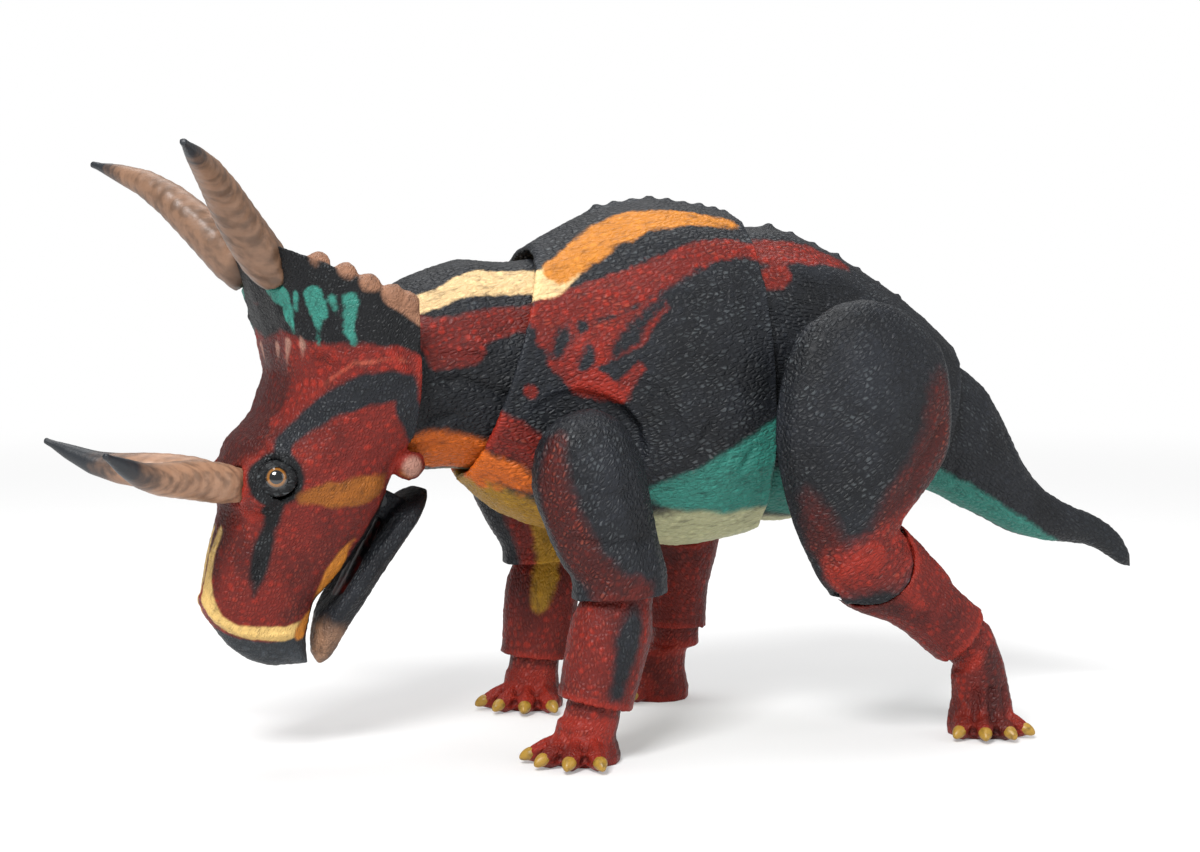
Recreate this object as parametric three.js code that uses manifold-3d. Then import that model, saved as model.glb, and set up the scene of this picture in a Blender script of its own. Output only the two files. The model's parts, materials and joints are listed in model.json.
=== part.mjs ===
// A posable horned dinosaur figure, moulded in rigid plastic and painted.
// Lengths are millimetres. The figure faces -X, its left side faces -Y and +Z is up.
import * as THREE from "three";
import { mergeVertices } from "three/addons/utils/BufferGeometryUtils.js";
import Module from "manifold-3d";

const wasm = await Module();
wasm.setup();
const degrees = THREE.MathUtils.degToRad;

// Fits
const gap = 0.3;
const overrun = 0.6;
const seamGap = 1.5;
const rimWall = 1.3;

// Torso
const chestLength = 65;
const chestHeight = 87;
const chestWidth = 56;
const pelvisLength = 56;
const pelvisHeight = 76;
const pelvisWidth = 47;
const tailLength = 65;
const tailDrop = 43;
const ridgeRadius = 1.7;

// Seams between torso pieces
const neckSeamHeight = 55;
const neckSeamWidth = 42;
const neckSeamDepth = 8;
const waistSeamHeight = 75;
const waistSeamWidth = 47;
const waistSeamDepth = 12;
const tailSeamHeight = 36;
const tailSeamWidth = 28;
const tailSeamDepth = 7;
const seamInset = 2.5;
const chestRise = 89.7;

// Neck and head
const neckLength = 26.7;
const headSeatRadius = 22;
const headSeatDepth = 11;
const headSeatGap = 1.3;
const skullLength = 75;
const skullHeight = 41;
const skullWidth = 43;
const frillReach = 14;
const frillHeight = 33;
const frillWidth = 58;
const frillThickness = 3.8;
const knobRadius = 3;
const browHornLength = 42;
const browHornRadius = 5;
const frillHornLength = 50;
const frillHornRadius = 5.6;
const eyeRadius = 4.2;
const jawLength = 54;
const jawWidth = 23;
const jawDepth = 7.5;

// Double ball joints
const ballRadius = 4;
const ballSpacing = 9;
const rodRadius = 2;
const postWall = 1.7;

// Forelegs and hind legs, with lengths from pivot to pivot
const armSpread = 33;
const upperArmLength = 28.2;
const upperArmDepth = 28;
const upperArmThickness = 19;
const forearmLength = 29.8;
const forearmDepth = 20.8;
const forearmThickness = 16.8;
const legSpread = 34;
const thighLength = 37.9;
const thighDepth = 46.6;
const thighThickness = 19;
const shinLength = 35;
const shinDepth = 24.6;
const shinThickness = 17;
const limbGap = 1.3;
const toeRadius = 3;
const handReach = 15;
const footReach = 13.5;

// Limb joints
const pegRadius = 3.4;
const pegHeadRadius = 4.4;
const pegHeadLength = 2.5;
const pegDepth = 11;
const knuckleRadius = 3.4;
const knuckleWidth = 6;
const hingeInset = 5;
const pinRadius = 1.5;
const pinLength = 15;
const elbowRadius = 8.6;
const elbowThickness = 12.5;
const kneeRadius = 12.2;
const kneeTongueRadius = 10.2;
const kneeTongueThickness = 6;
const footBallRadius = 3;
const footRodRadius = 1.4;
const footSeatRadius = 6.7;
const footSeatGap = 0.5;
const footRodLength = 14;
const footHeadRadius = 2.3;
const footHeadLength = 2.5;
const pawWidth = 14;

// Swings that the joints leave room for
const neckSwing = degrees(8);
const waistSwing = degrees(7);
const tailSwing = degrees(14);
const headSwing = degrees(12);
const limbSplay = degrees(12);
const elbowSwing = degrees(13);
const footSwing = degrees(14);
const kneeSpan = degrees(26);

// Angles of the seams and of the standing pose
const neckTilt = degrees(17.5);
const headTilt = degrees(-15);
const waistTilt = degrees(-3.5);
const tailTilt = degrees(14);
const headPitch = degrees(-63);
const headRoll = degrees(-2);
const headYaw = degrees(10);
const elbowExit = degrees(28);
const kneeExit = degrees(-45);
const left = {
  name: "left",
  side: -1,
  shoulder: degrees(-16.5),
  elbow: degrees(30),
  handTurn: degrees(40),
  palmShift: 2.5,
  hip: degrees(3),
  knee: degrees(-55),
  footTurn: degrees(84),
  soleShift: 6.5,
};
const right = {
  name: "right",
  side: 1,
  shoulder: degrees(-19),
  elbow: degrees(26),
  handTurn: degrees(-50),
  palmShift: 1,
  hip: degrees(38),
  knee: degrees(-36),
  footTurn: degrees(12),
  soleShift: -5,
};

// Numbers of facets around and along the pieces
const bodySides = 18;
const limbSides = 12;
const hornSides = 10;
const smallSides = 6;
const ballSides = 10;

// Paint
const paint = (color, roughness = 0.55) =>
  new THREE.MeshStandardMaterial({ color, roughness, metalness: 0 });
const darkHide = paint(0x33373b);
const redHide = paint(0x7d2a24);
const brightRed = paint(0x93291f);
const slate = paint(0x3a3d42, 0.45);
const horn = paint(0xa98468, 0.5);
const eyeGloss = paint(0xc8641a, 0.12);
const jointPlastic = paint(0x3f1816, 0.4);

// Fits a smooth curve through the rows of a table and adds rows between them.
// Columns from roundFrom on are half sizes, which are squared so that ends close in a dome.
function smoothRows(rowShares, steps, roundFrom) {
  const last = rowShares.length - 1;
  const rows = [];
  for (let i = 0; i < last; i += 1) {
    for (let k = 0; k < steps; k += 1) {
      rows.push({ i, t: k / steps });
    }
  }
  rows.push({ i: last - 1, t: 1 });
  return rows.map(({ i, t }) =>
    rowShares[0].map((_, column) => {
      const round = roundFrom.includes(column);
      const at = (n) => {
        const value = rowShares[THREE.MathUtils.clamp(n, 0, last)][column];
        return round ? value * value : value;
      };
      const value = curvePoint(at(i - 1), at(i), at(i + 1), at(i + 2), t);
      return round ? Math.sqrt(Math.max(value, 0)) : value;
    }),
  );
}

function curvePoint(a, b, c, d, t) {
  const slopeIn = (c - a) / 2;
  const slopeOut = (d - b) / 2;
  const square = t * t;
  const cube = square * t;
  return (
    (2 * cube - 3 * square + 1) * b +
    (cube - 2 * square + t) * slopeIn +
    (3 * square - 2 * cube) * c +
    (cube - square) * slopeOut
  );
}

// One ring of a skin, in the XZ plane of its piece and leaning about Y
function ring(x, z, up, across, lean = 0, y = 0) {
  return {
    centre: new THREE.Vector3(x, y, z),
    up: new THREE.Vector3(Math.sin(lean), 0, Math.cos(lean)).multiplyScalar(up),
    across: new THREE.Vector3(0, across, 0),
  };
}

// A closed solid over rings
function skin(rings, sides, squareness = 2) {
  const points = [];
  const faces = [];
  const starts = [];
  const power = 2 / squareness;
  const bend = (v) => Math.sign(v) * Math.abs(v) ** power;
  const counts = rings.map((r) => (r.across.length() * r.up.length() > 0 ? sides : 1));
  rings.forEach((r, n) => {
    starts.push(points.length);
    for (let k = 0; k < counts[n]; k += 1) {
      const angle = (2 * Math.PI * (k + 0.5)) / sides;
      const point = r.centre.clone();
      point.addScaledVector(r.across, bend(Math.cos(angle)));
      point.addScaledVector(r.up, bend(Math.sin(angle)));
      points.push(counts[n] === 1 ? r.centre.clone() : point);
    }
  });
  for (let n = 0; n + 1 < rings.length; n += 1) {
    for (let k = 0; k < sides; k += 1) {
      const next = (k + 1) % sides;
      const a = starts[n] + (k % counts[n]);
      const b = starts[n] + (next % counts[n]);
      const c = starts[n + 1] + (next % counts[n + 1]);
      const d = starts[n + 1] + (k % counts[n + 1]);
      if (a !== b) faces.push([a, b, c]);
      if (c !== d) faces.push([a, c, d]);
    }
  }
  [0, rings.length - 1].forEach((n) => {
    if (counts[n] === 1) return;
    const middle = points.length;
    points.push(rings[n].centre.clone());
    for (let k = 0; k < sides; k += 1) {
      const edge = [starts[n] + k, starts[n] + ((k + 1) % sides)];
      faces.push(n === 0 ? [edge[1], edge[0], middle] : [edge[0], edge[1], middle]);
    }
  });
  return closedSolid(points.flatMap((p) => p.toArray()), faces);
}

// A manifold from corners and triangles, turned so that its faces point out
function closedSolid(corners, faces) {
  const build = (list) =>
    new wasm.Manifold(
      new wasm.Mesh({
        numProp: 3,
        vertProperties: new Float32Array(corners),
        triVerts: new Uint32Array(list.flat()),
      }),
    );
  const solid = build(faces);
  return solid.volume() > 0 ? solid : build(faces.map(([a, b, c]) => [a, c, b]));
}

// A manifold from one of three.js's closed geometries
function solidOf(geometry) {
  geometry.deleteAttribute("normal");
  geometry.deleteAttribute("uv");
  const merged = mergeVertices(geometry);
  const index = merged.index.array;
  const faces = [];
  for (let i = 0; i < index.length; i += 3) {
    const face = [index[i], index[i + 1], index[i + 2]];
    if (new Set(face).size === 3) faces.push(face);
  }
  return closedSolid(Array.from(merged.attributes.position.array), faces);
}

const move = (solid, x, y, z) => solid.translate([x, y, z]);
const turn = (solid, x, y, z) => {
  const matrix = new THREE.Matrix4().makeRotationFromEuler(new THREE.Euler(x, y, z));
  return solid.transform(matrix.elements);
};
const unite = (solids) => solids.reduce((a, b) => a.add(b));
const cut = (solid, cutters) => cutters.reduce((a, b) => a.subtract(b), solid);

const ball = (radius, sides = ballSides) =>
  solidOf(new THREE.SphereGeometry(radius, sides, Math.ceil(sides / 2)));
const box = (x, y, z) => solidOf(new THREE.BoxGeometry(x, y, z));
const hollowBall = (radius, sides = ballSides) => ball(radius / Math.cos(Math.PI / sides) ** 2, sides);
const rodY = (radius, length, sides = ballSides) =>
  solidOf(new THREE.CylinderGeometry(radius, radius, length, sides));
const rodX = (radius, length, sides) => turn(rodY(radius, length, sides), 0, 0, Math.PI / 2);

// A turned solid about Z, from [radius, height] corners that begin and end on the axis
function turned(profile, sides = ballSides) {
  const corners = profile.map(([radius, height]) => new THREE.Vector2(radius, height));
  return turn(solidOf(new THREE.LatheGeometry(corners, sides)), Math.PI / 2, 0, 0);
}

function meshOf(name, solid, material) {
  const { vertProperties, triVerts } = solid.getMesh();
  const geometry = new THREE.BufferGeometry();
  geometry.setAttribute("position", new THREE.Float32BufferAttribute(vertProperties, 3));
  geometry.setIndex(Array.from(triVerts));
  geometry.computeVertexNormals();
  const mesh = new THREE.Mesh(geometry, material);
  mesh.name = name;
  return mesh;
}

function groupAt(parent, name, x, y, z) {
  const group = new THREE.Group();
  group.name = name;
  group.position.set(x, y, z);
  parent.add(group);
  return group;
}

// Rings of a seat: a belt that is round about Y at its top and about Z at its sides.
// Stations run along X from one side of the joint's centre to the other.
function beltRings(height, width, from, to, extra = 0, steps = 3) {
  const up = height / 2 + extra;
  const across = width / 2 + extra;
  const rings = [];
  for (let k = 0; k <= steps; k += 1) {
    const s = from + ((to - from) * k) / steps;
    const round = (radius) => Math.sqrt(Math.max(radius * radius - s * s, 0));
    rings.push(ring(s, 0, round(up), round(across)));
  }
  return rings;
}

function leanRings(rings, tilt, x = 0, z = 0) {
  const matrix = new THREE.Matrix4().makeRotationY(tilt);
  return rings.map((r) => ({
    centre: r.centre.clone().applyMatrix4(matrix).add(new THREE.Vector3(x, 0, z)),
    up: r.up.clone().applyMatrix4(matrix),
    across: r.across.clone().applyMatrix4(matrix),
  }));
}

// Double ball joint. Its centre is the origin, its axis is X, and side says
// on which side of the centre the piece lies.
const lipInset = 0.6 * ballRadius;
const lipOffset = ballSpacing / 2 - lipInset;
const postRadius = ballRadius + gap + postWall;

function ballLink() {
  const half = ballSpacing / 2;
  return unite([
    move(ball(ballRadius), half, 0, 0),
    move(ball(ballRadius), -half, 0, 0),
    rodX(rodRadius, ballSpacing),
  ]);
}

const ballSocket = (side) => move(hollowBall(ballRadius + gap), (side * ballSpacing) / 2, 0, 0);

function postAt(side, root) {
  const length = root - lipOffset;
  return move(rodX(postRadius, length), side * (lipOffset + length / 2), 0, 0);
}

function postWell(side, depth, swing) {
  const length = depth + overrun + lipOffset;
  const radius = postRadius + 2 * gap + (depth + ballSpacing / 2) * Math.tan(swing);
  return move(rodX(radius, length, bodySides), side * (lipOffset - length / 2), 0, 0);
}

function atSeam(solid, tilt, x, z) {
  return move(turn(solid, 0, tilt, 0), x, 0, z);
}

// Hangs a child on its parent by a double ball joint and returns the child's group,
// whose origin is the joint's centre and whose axes are those of the parent.
function hangByBalls(parent, name, x, z, tilt, side) {
  const half = (side * ballSpacing) / 2;
  const yaw = groupAt(parent, `${name}_yaw`, x - half * Math.cos(tilt), 0, z + half * Math.sin(tilt));
  yaw.rotation.y = tilt;
  const link = meshOf(`${name}_ball_link`, ballLink(), jointPlastic);
  link.position.x = half;
  yaw.add(link);
  const pitch = groupAt(yaw, `${name}_pitch`, 2 * half, 0, 0);
  const child = groupAt(pitch, `${name}_child`, -half, 0, 0);
  child.rotation.y = -tilt;
  return child;
}

// Scales a table of shares to lengths: along, rise, half height, half width, lean
const sized = (rowShares, length, rise, height, width) =>
  rowShares.map(([along, lift, up, across, lean]) => [
    along * length,
    lift * rise,
    up * height,
    across * width,
    degrees(lean),
  ]);

const ringsOf = (rows) => rows.map(([x, z, up, across, lean]) => ring(x, z, up, across, lean));

// A row whose half height and half width leave a wall round a seat of this size
function rimRow([x, z, up, across, lean], height, width) {
  const wall = seamGap + rimWall;
  return [x, z, Math.max(up, height / 2 + wall), Math.max(across, width / 2 + wall), lean];
}

// Where the bumps along the back start and end, counted in rings, and how many there are
const chestRidge = { from: 4, to: 9.6, count: 9 };
const pelvisRidge = { from: 2, to: 7, count: 7 };

// A row of low bumps along the tops of rings
function ridge(rings, { from, to, count }) {
  const bumps = [];
  for (let k = 0; k < count; k += 1) {
    const place = from + ((to - from) * k) / (count - 1);
    const n = Math.min(Math.floor(place), rings.length - 2);
    const top = (r) => r.centre.clone().add(r.up);
    const spot = top(rings[n]).lerp(top(rings[n + 1]), place - n);
    const size = ridgeRadius * (0.8 + 0.2 * Math.cos(2 * k));
    bumps.push(move(ball(size, smallSides), spot.x, 0, spot.z - size / 3));
  }
  return unite(bumps);
}

// Chest, with its origin at its middle
const chestShares = [
  [-0.508, 0.042, 0.347, 0.42, 17.5],
  [-0.377, 0.014, 0.414, 0.422, 12],
  [-0.17, 0.011, 0.471, 0.44, 7],
  [0.07, 0.006, 0.5, 0.482, 3.5],
  [0.31, -0.009, 0.497, 0.5, 0],
  [0.492, -0.005, 0.471, 0.468, -3.5],
];
const chestRows = sized(chestShares, chestLength, chestHeight, chestHeight, chestWidth);
chestRows.splice(0, 1, rimRow(chestRows[0], neckSeamHeight, neckSeamWidth));
chestRows.splice(-1, 1, rimRow(chestRows.at(-1), waistSeamHeight, waistSeamWidth));
const seamPoint = ([x, z], tilt, inward) => ({
  x: x + inward * seamInset * Math.cos(tilt),
  z: z - inward * seamInset * Math.sin(tilt),
});
const neckAt = seamPoint(chestRows[0], neckTilt, 1);
const waistAt = seamPoint(chestRows.at(-1), waistTilt, -1);
const shoulderAt = { x: -0.277 * chestLength, z: -0.224 * chestHeight };

const armFace = armSpread - upperArmThickness / 2;
const legFace = legSpread - thighThickness / 2;

// The hole for a limb's peg, with a wider chamber for its head
function pegHole(side, face) {
  const outer = face - limbGap;
  const inner = outer - pegDepth;
  const hole = rodY(pegRadius + gap, pegDepth + 2 * limbGap + overrun);
  const chamber = rodY(pegHeadRadius + gap, pegHeadLength + 2 * gap);
  return unite([
    move(hole, 0, side * (inner + (pegDepth + 2 * limbGap + overrun) / 2), 0),
    move(chamber, 0, side * (inner + pegHeadLength / 2), 0),
  ]);
}

// A flat bed in the body's side where a limb lies
function limbBed(side, face, radius) {
  const depth = radius;
  return move(rodY(radius, depth, bodySides), 0, side * (face - limbGap + depth / 2), 0);
}

// The hollow that holds a seam's dome, its floor clear of the dome's edge when it swings
function dish(height, width, depth, side, swing) {
  const floor = depth + (height / 2) * Math.sin(swing) + seamGap / 2;
  const rim = seamInset + overrun;
  const rings = beltRings(height, width, -side * rim, side * floor, seamGap);
  return { hollow: skin(rings, bodySides), floor };
}

function chestSolid() {
  const rings = ringsOf(smoothRows(chestRows, 2, [2, 3]));
  const body = skin(rings, bodySides).add(ridge(rings, chestRidge));
  const neckDish = dish(neckSeamHeight, neckSeamWidth, neckSeamDepth, 1, neckSwing);
  const waistDish = dish(waistSeamHeight, waistSeamWidth, waistSeamDepth, -1, waistSwing);
  const atNeck = (solid) => atSeam(solid, neckTilt, neckAt.x, neckAt.z);
  const atWaist = (solid) => atSeam(solid, waistTilt, waistAt.x, waistAt.z);
  const hollowed = cut(body, [atNeck(neckDish.hollow), atWaist(waistDish.hollow)]);
  const posted = unite([
    hollowed,
    atNeck(postAt(1, neckDish.floor + postWall)),
    atWaist(postAt(-1, waistDish.floor + postWall)),
  ]);
  const holes = [left, right].flatMap(({ side }) => [
    move(pegHole(side, armFace), shoulderAt.x, 0, shoulderAt.z),
    move(limbBed(side, armFace, upperArmDepth * 0.62), shoulderAt.x, 0, shoulderAt.z),
  ]);
  return cut(posted, [atNeck(ballSocket(1)), atWaist(ballSocket(-1)), ...holes]);
}

// Pelvis, with its origin at the waist joint
const pelvisShares = [
  [0, 0, 0.493, 0.5, -3.5],
  [0.214, -0.003, 0.5, 0.494, -2],
  [0.455, -0.028, 0.452, 0.485, 0],
  [0.679, -0.074, 0.391, 0.464, 4],
  [0.866, -0.12, 0.325, 0.421, 9],
  [1, -0.168, 0.272, 0.357, 14],
];
const pelvisRows = sized(pelvisShares, pelvisLength, pelvisHeight, pelvisHeight, pelvisWidth);
pelvisRows.splice(-1, 1, rimRow(pelvisRows.at(-1), tailSeamHeight, tailSeamWidth));
const tailAt = seamPoint(pelvisRows.at(-1), tailTilt, -1);
const hipAt = { x: 0.402 * pelvisLength, z: -0.057 * pelvisHeight };

function pelvisSolid() {
  const dome = beltRings(waistSeamHeight, waistSeamWidth, -waistSeamDepth, 0);
  const rings = ringsOf(smoothRows(pelvisRows, 2, [2, 3]));
  const body = skin([...leanRings(dome.slice(0, -1), waistTilt), ...rings], bodySides);
  const tailDish = dish(tailSeamHeight, tailSeamWidth, tailSeamDepth, -1, tailSwing);
  const atTail = (solid) => atSeam(solid, tailTilt, tailAt.x, tailAt.z);
  const hollowed = cut(body.add(ridge(rings, pelvisRidge)), [
    atSeam(postWell(1, waistSeamDepth, waistSwing), waistTilt, 0, 0),
    atSeam(ballSocket(1), waistTilt, 0, 0),
    atTail(tailDish.hollow),
    ...[left, right].map(({ side }) => move(pegHole(side, legFace), hipAt.x, 0, hipAt.z)),
  ]);
  const posted = hollowed.add(atTail(postAt(-1, tailDish.floor + postWall)));
  return cut(posted, [atTail(ballSocket(-1))]);
}

// Tail, with its origin at its joint
const tailShares = [
  [0, 0, 0.5, 0.5, 14],
  [0.05, -0.03, 0.487, 0.48, 16],
  [0.185, -0.147, 0.445, 0.43, 20],
  [0.329, -0.367, 0.319, 0.357, 22],
  [0.462, -0.558, 0.225, 0.268, 22],
  [0.615, -0.665, 0.164, 0.204, 20],
  [0.775, -0.728, 0.125, 0.154, 17],
  [0.903, -0.833, 0.1, 0.121, 28],
  [1, -1, 0, 0, 40],
];

function tailSolid() {
  const rows = sized(tailShares, tailLength, tailDrop, tailSeamHeight, tailSeamWidth);
  const dome = beltRings(tailSeamHeight, tailSeamWidth, -tailSeamDepth, 0);
  const rings = [
    ...leanRings(dome.slice(0, -1), tailTilt),
    ...ringsOf(smoothRows(rows, 2, [2, 3])),
  ];
  return cut(skin(rings, limbSides + 2), [
    atSeam(postWell(1, tailSeamDepth, tailSwing), tailTilt, 0, 0),
    atSeam(ballSocket(1), tailTilt, 0, 0),
  ]);
}

// Neck, with its origin at its joint in the chest
const neckShares = [
  [-0.2, -0.005, 0.476, 0.478, 14],
  [-0.5, 0.006, 0.473, 0.488, 5],
  [-0.8, -0.035, 0.44, 0.495, -4],
];
const headAt = { x: -neckLength, z: -0.071 * neckSeamHeight };

function neckSolid() {
  const rows = sized(neckShares, neckLength, neckSeamHeight, neckSeamHeight, neckSeamWidth);
  const dome = beltRings(neckSeamHeight, neckSeamWidth, neckSeamDepth, 0);
  const seat = beltRings(2 * headSeatRadius, 2 * headSeatRadius, 0, -headSeatDepth);
  const rings = [
    ...leanRings(dome, neckTilt),
    ...ringsOf(rows),
    ...leanRings(seat, headTilt, headAt.x, headAt.z),
  ];
  const atHead = (solid) => atSeam(solid, headTilt, headAt.x, headAt.z);
  return cut(skin(rings, bodySides), [
    atSeam(postWell(-1, neckSeamDepth, neckSwing), neckTilt, 0, 0),
    atSeam(ballSocket(-1), neckTilt, 0, 0),
    atHead(postWell(1, headSeatDepth, headSwing)),
    atHead(ballSocket(1)),
  ]);
}

// Skull, modelled level with its snout along -X and its origin at the head joint
const attitude = new THREE.Euler(headRoll, headPitch, headYaw, "ZYX");
const skullShares = [
  [-1.003, 0.1, 0, 0, 0],
  [-0.987, 0.1, 0.146, 0.08, 0],
  [-0.933, 0.11, 0.341, 0.16, 0],
  [-0.853, 0.195, 0.341, 0.205, 0],
  [-0.747, 0.244, 0.341, 0.235, 0],
  [-0.613, 0.227, 0.407, 0.305, 0],
  [-0.493, 0.268, 0.476, 0.4, 0],
  [-0.4, 0.276, 0.48, 0.46, 0],
  [-0.28, 0.256, 0.427, 0.5, 0],
  [-0.147, 0.22, 0.488, 0.57, 0],
  [-0.013, 0.17, 0.683, 0.65, -5],
];
const frillLean = degrees(-2);
const frillCentreShare = 0.545;

function frillRing(extra) {
  const z = frillCentreShare * frillHeight;
  return ring(frillReach, z, frillHeight + extra, frillWidth / 2 + extra, frillLean);
}

// The bony knobs along the frill's rim
function frillKnobs() {
  const spotShares = [0, 0.3, 0.37, 0.43, 0.49, 0.535];
  const rim = frillRing(-frillThickness / 2);
  const knobs = [];
  spotShares.forEach((share, n) => {
    const angle = share * Math.PI;
    [-1, 1].forEach((side) => {
      if (n === 0 && side === 1) return;
      const spot = rim.centre.clone();
      spot.addScaledVector(rim.up, Math.cos(angle));
      spot.addScaledVector(rim.across, side * Math.sin(angle));
      knobs.push(move(ball(knobRadius, smallSides + 2), spot.x, spot.y, spot.z));
    });
  });
  return unite(knobs);
}

// Path of a horn in the skull's frame, from its root, as shares of its length
const browHornShares = [
  [-0.93, 0.63, 0.2],
  [-1.02, 0.92, 0.32],
  [-1.12, 1.2, 0.5],
  [-1.12, 1.51, 0.72],
];
const frillHornShares = [
  [0.145, 0.8, 0.22],
  [0.255, 1.05, 0.29],
  [0.37, 1.345, 0.5],
  [0.385, 1.6, 0.83],
];
const hornTaperShares = [0.8, 1, 0.98, 0.9, 0.78, 0.62, 0.42, 0.15];

// A curved horn whose root is sunk in the skull
function hornSolid(pathShares, length, radius, side, extra = 0) {
  const points = pathShares.map(([x, z, y]) =>
    new THREE.Vector3(x * length, side * y * length, z * length));
  const curve = new THREE.CatmullRomCurve3(points);
  const count = hornTaperShares.length;
  const rings = hornTaperShares.map((share, n) => {
    const t = n / (count - 1);
    const along = curve.getTangent(t);
    const across = new THREE.Vector3(0, 1, 0).cross(along).normalize();
    const up = along.clone().cross(across);
    return {
      centre: curve.getPoint(t).addScaledVector(along, n === 0 ? -extra : 0),
      up: up.multiplyScalar(share * radius + extra),
      across: across.multiplyScalar(share * radius + extra),
    };
  });
  return skin(rings, hornSides);
}

const brow = { pathShares: browHornShares, length: browHornLength, radius: browHornRadius };
const crest = { pathShares: frillHornShares, length: frillHornLength, radius: frillHornRadius };
const hornOf = (kind, side, extra) =>
  hornSolid(kind.pathShares, kind.length, kind.radius, side, extra);

const eyeAt = { x: -0.463 * skullLength, y: 0.345 * skullWidth, z: 0.52 * skullHeight };
const jawAt = { x: -0.373 * skullLength, z: -0.171 * skullHeight };
const jawBarrel = pinRadius + postWall;
const jawTongue = 0.175 * jawWidth;
const jawPinLength = 0.62 * jawWidth;

function skullSolid() {
  const rows = sized(skullShares, skullLength, skullHeight, skullHeight, skullWidth);
  const rings = [...ringsOf(smoothRows(rows, 1, [2, 3])), frillRing(0)];
  const inner = rings.slice(-2).map((r) => ({
    ...r,
    up: r.up.clone().setLength(r.up.length() - frillThickness),
    across: r.across.clone().setLength(r.across.length() - frillThickness),
  }));
  const beyond = {
    centre: inner[1].centre.clone().multiplyScalar(2).sub(inner[0].centre),
    up: inner[1].up.clone().multiplyScalar(1.1),
    across: inner[1].across.clone().multiplyScalar(1.1),
  };
  const block = box(skullLength, 2 * frillWidth, skullLength);
  const leaning = turn(move(block, skullLength / 2, 0, -skullLength / 2), 0, degrees(-30), 0);
  const underFrill = move(leaning, -0.227 * skullLength, 0, -0.146 * skullHeight);
  const shell = skin(rings, bodySides, 2.4).subtract(skin([...inner, beyond], bodySides, 2.4));
  const toHead = new THREE.Matrix4().makeRotationFromEuler(attitude).invert();
  const tilted = toHead.multiply(new THREE.Matrix4().makeRotationY(headTilt));
  const inHead = (solid) => solid.transform(tilted.elements);
  const boss = ball(0.17 * skullWidth, limbSides);
  const bosses = [-1, 1].map((side) =>
    move(boss, -0.493 * skullLength, side * 0.25 * skullWidth, 0.54 * skullHeight));
  const nose = move(ball(knobRadius, smallSides + 2), -0.88 * skullLength, 0, 0.46 * skullHeight);
  const cheek = ball(1.4 * knobRadius, limbSides);
  const cheeks = [-1, 1].map((side) =>
    move(cheek, -0.24 * skullLength, side * 0.36 * skullWidth, -0.15 * skullHeight));
  const trimmed = cut(shell, [underFrill]);
  const headSeat = hollowBall(headSeatRadius + headSeatGap, bodySides);
  const hollowed = cut(unite([trimmed, nose, ...bosses, ...cheeks]), [headSeat]);
  const posted = unite([hollowed, frillKnobs(), inHead(postAt(-1, headSeatRadius + 3 * headSeatGap))]);
  const slot = box(2 * jawBarrel + 2 * overrun, 2 * jawTongue + 2 * gap, skullHeight);
  const jawSlot = unite([
    rodY(jawBarrel + gap, 2 * jawTongue + 2 * gap),
    move(slot, 0, 0, -skullHeight / 2),
    rodY(pinRadius + gap, jawPinLength + 2 * gap),
  ]);
  return cut(posted, [
    inHead(ballSocket(-1)),
    move(jawSlot, jawAt.x, 0, jawAt.z),
    ...[-1, 1].flatMap((side) => [
      hornOf(brow, side, gap),
      hornOf(crest, side, gap),
      move(hollowBall(eyeRadius + gap), eyeAt.x, side * eyeAt.y, eyeAt.z),
    ]),
  ]);
}

// Lower jaw, with its origin at its hinge in the skull
const jawShares = [
  [0.14, -1.36, 0.15, 0.2, 0],
  [0.06, -1.19, 0.42, 0.42, 0],
  [-0.04, -1.03, 0.51, 0.5, 0],
  [-0.24, -0.84, 0.44, 0.435, 0],
  [-0.44, -0.69, 0.45, 0.39, 0],
  [-0.56, -0.49, 0.557, 0.304, 0],
  [-0.68, -0.57, 0.43, 0.217, 0],
  [-0.77, -0.71, 0, 0, 0],
];

function jawSolid() {
  const rows = sized(jawShares, jawLength, jawDepth, jawDepth, jawWidth);
  const bar = skin(ringsOf(smoothRows(rows, 2, [2, 3])), limbSides);
  const tongue = unite([
    rodY(jawBarrel, 2 * jawTongue),
    move(box(2 * jawBarrel, 2 * jawTongue, jawDepth), 0, 0, -jawDepth / 2),
  ]);
  return bar.add(tongue).subtract(rodY(pinRadius + gap, jawPinLength));
}

// Limb rings hang down Z from the limb's upper pivot: offset, drop, half depth, half thickness
const limbRing = (x, z, depth, thickness, slope = 0) =>
  ring(x, z, depth, thickness, Math.PI / 2 - slope);

function limbRings(rowShares, length, depth, thickness, steps = 2) {
  return smoothRows(rowShares, steps, [2, 3]).map(([x, z, half, across, slope]) =>
    limbRing(x * depth, z * length, half * depth, across * thickness, degrees(slope)),
  );
}

function domeRings(radius, halfThickness, steps = 3) {
  const rings = [];
  for (let k = 0; k < steps; k += 1) {
    const angle = (k / steps) * (Math.PI / 2);
    const part = Math.sin(angle);
    rings.push(limbRing(0, radius * Math.cos(angle), radius * part, halfThickness * part));
  }
  return rings;
}

const upperArmShares = [
  [0, 0.48, 0, 0, 0],
  [-0.017, 0.39, 0.27, 0.29, 0],
  [-0.033, 0.25, 0.4, 0.42, 0],
  [-0.05, -0.035, 0.5, 0.49, 0],
  [-0.055, -0.39, 0.483, 0.5, 0],
  [-0.05, -0.71, 0.445, 0.5, -5],
  [-0.02, -0.96, 0.42, 0.49, -11],
];
const elbowRim = elbowRadius / 2;
const elbowDepth = elbowRim + elbowRadius * Math.sin(elbowExit / 2) + overrun;
const elbowMouth = (depth) =>
  elbowRadius / Math.cos(elbowSwing) + gap + depth * Math.tan(elbowSwing);

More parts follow.
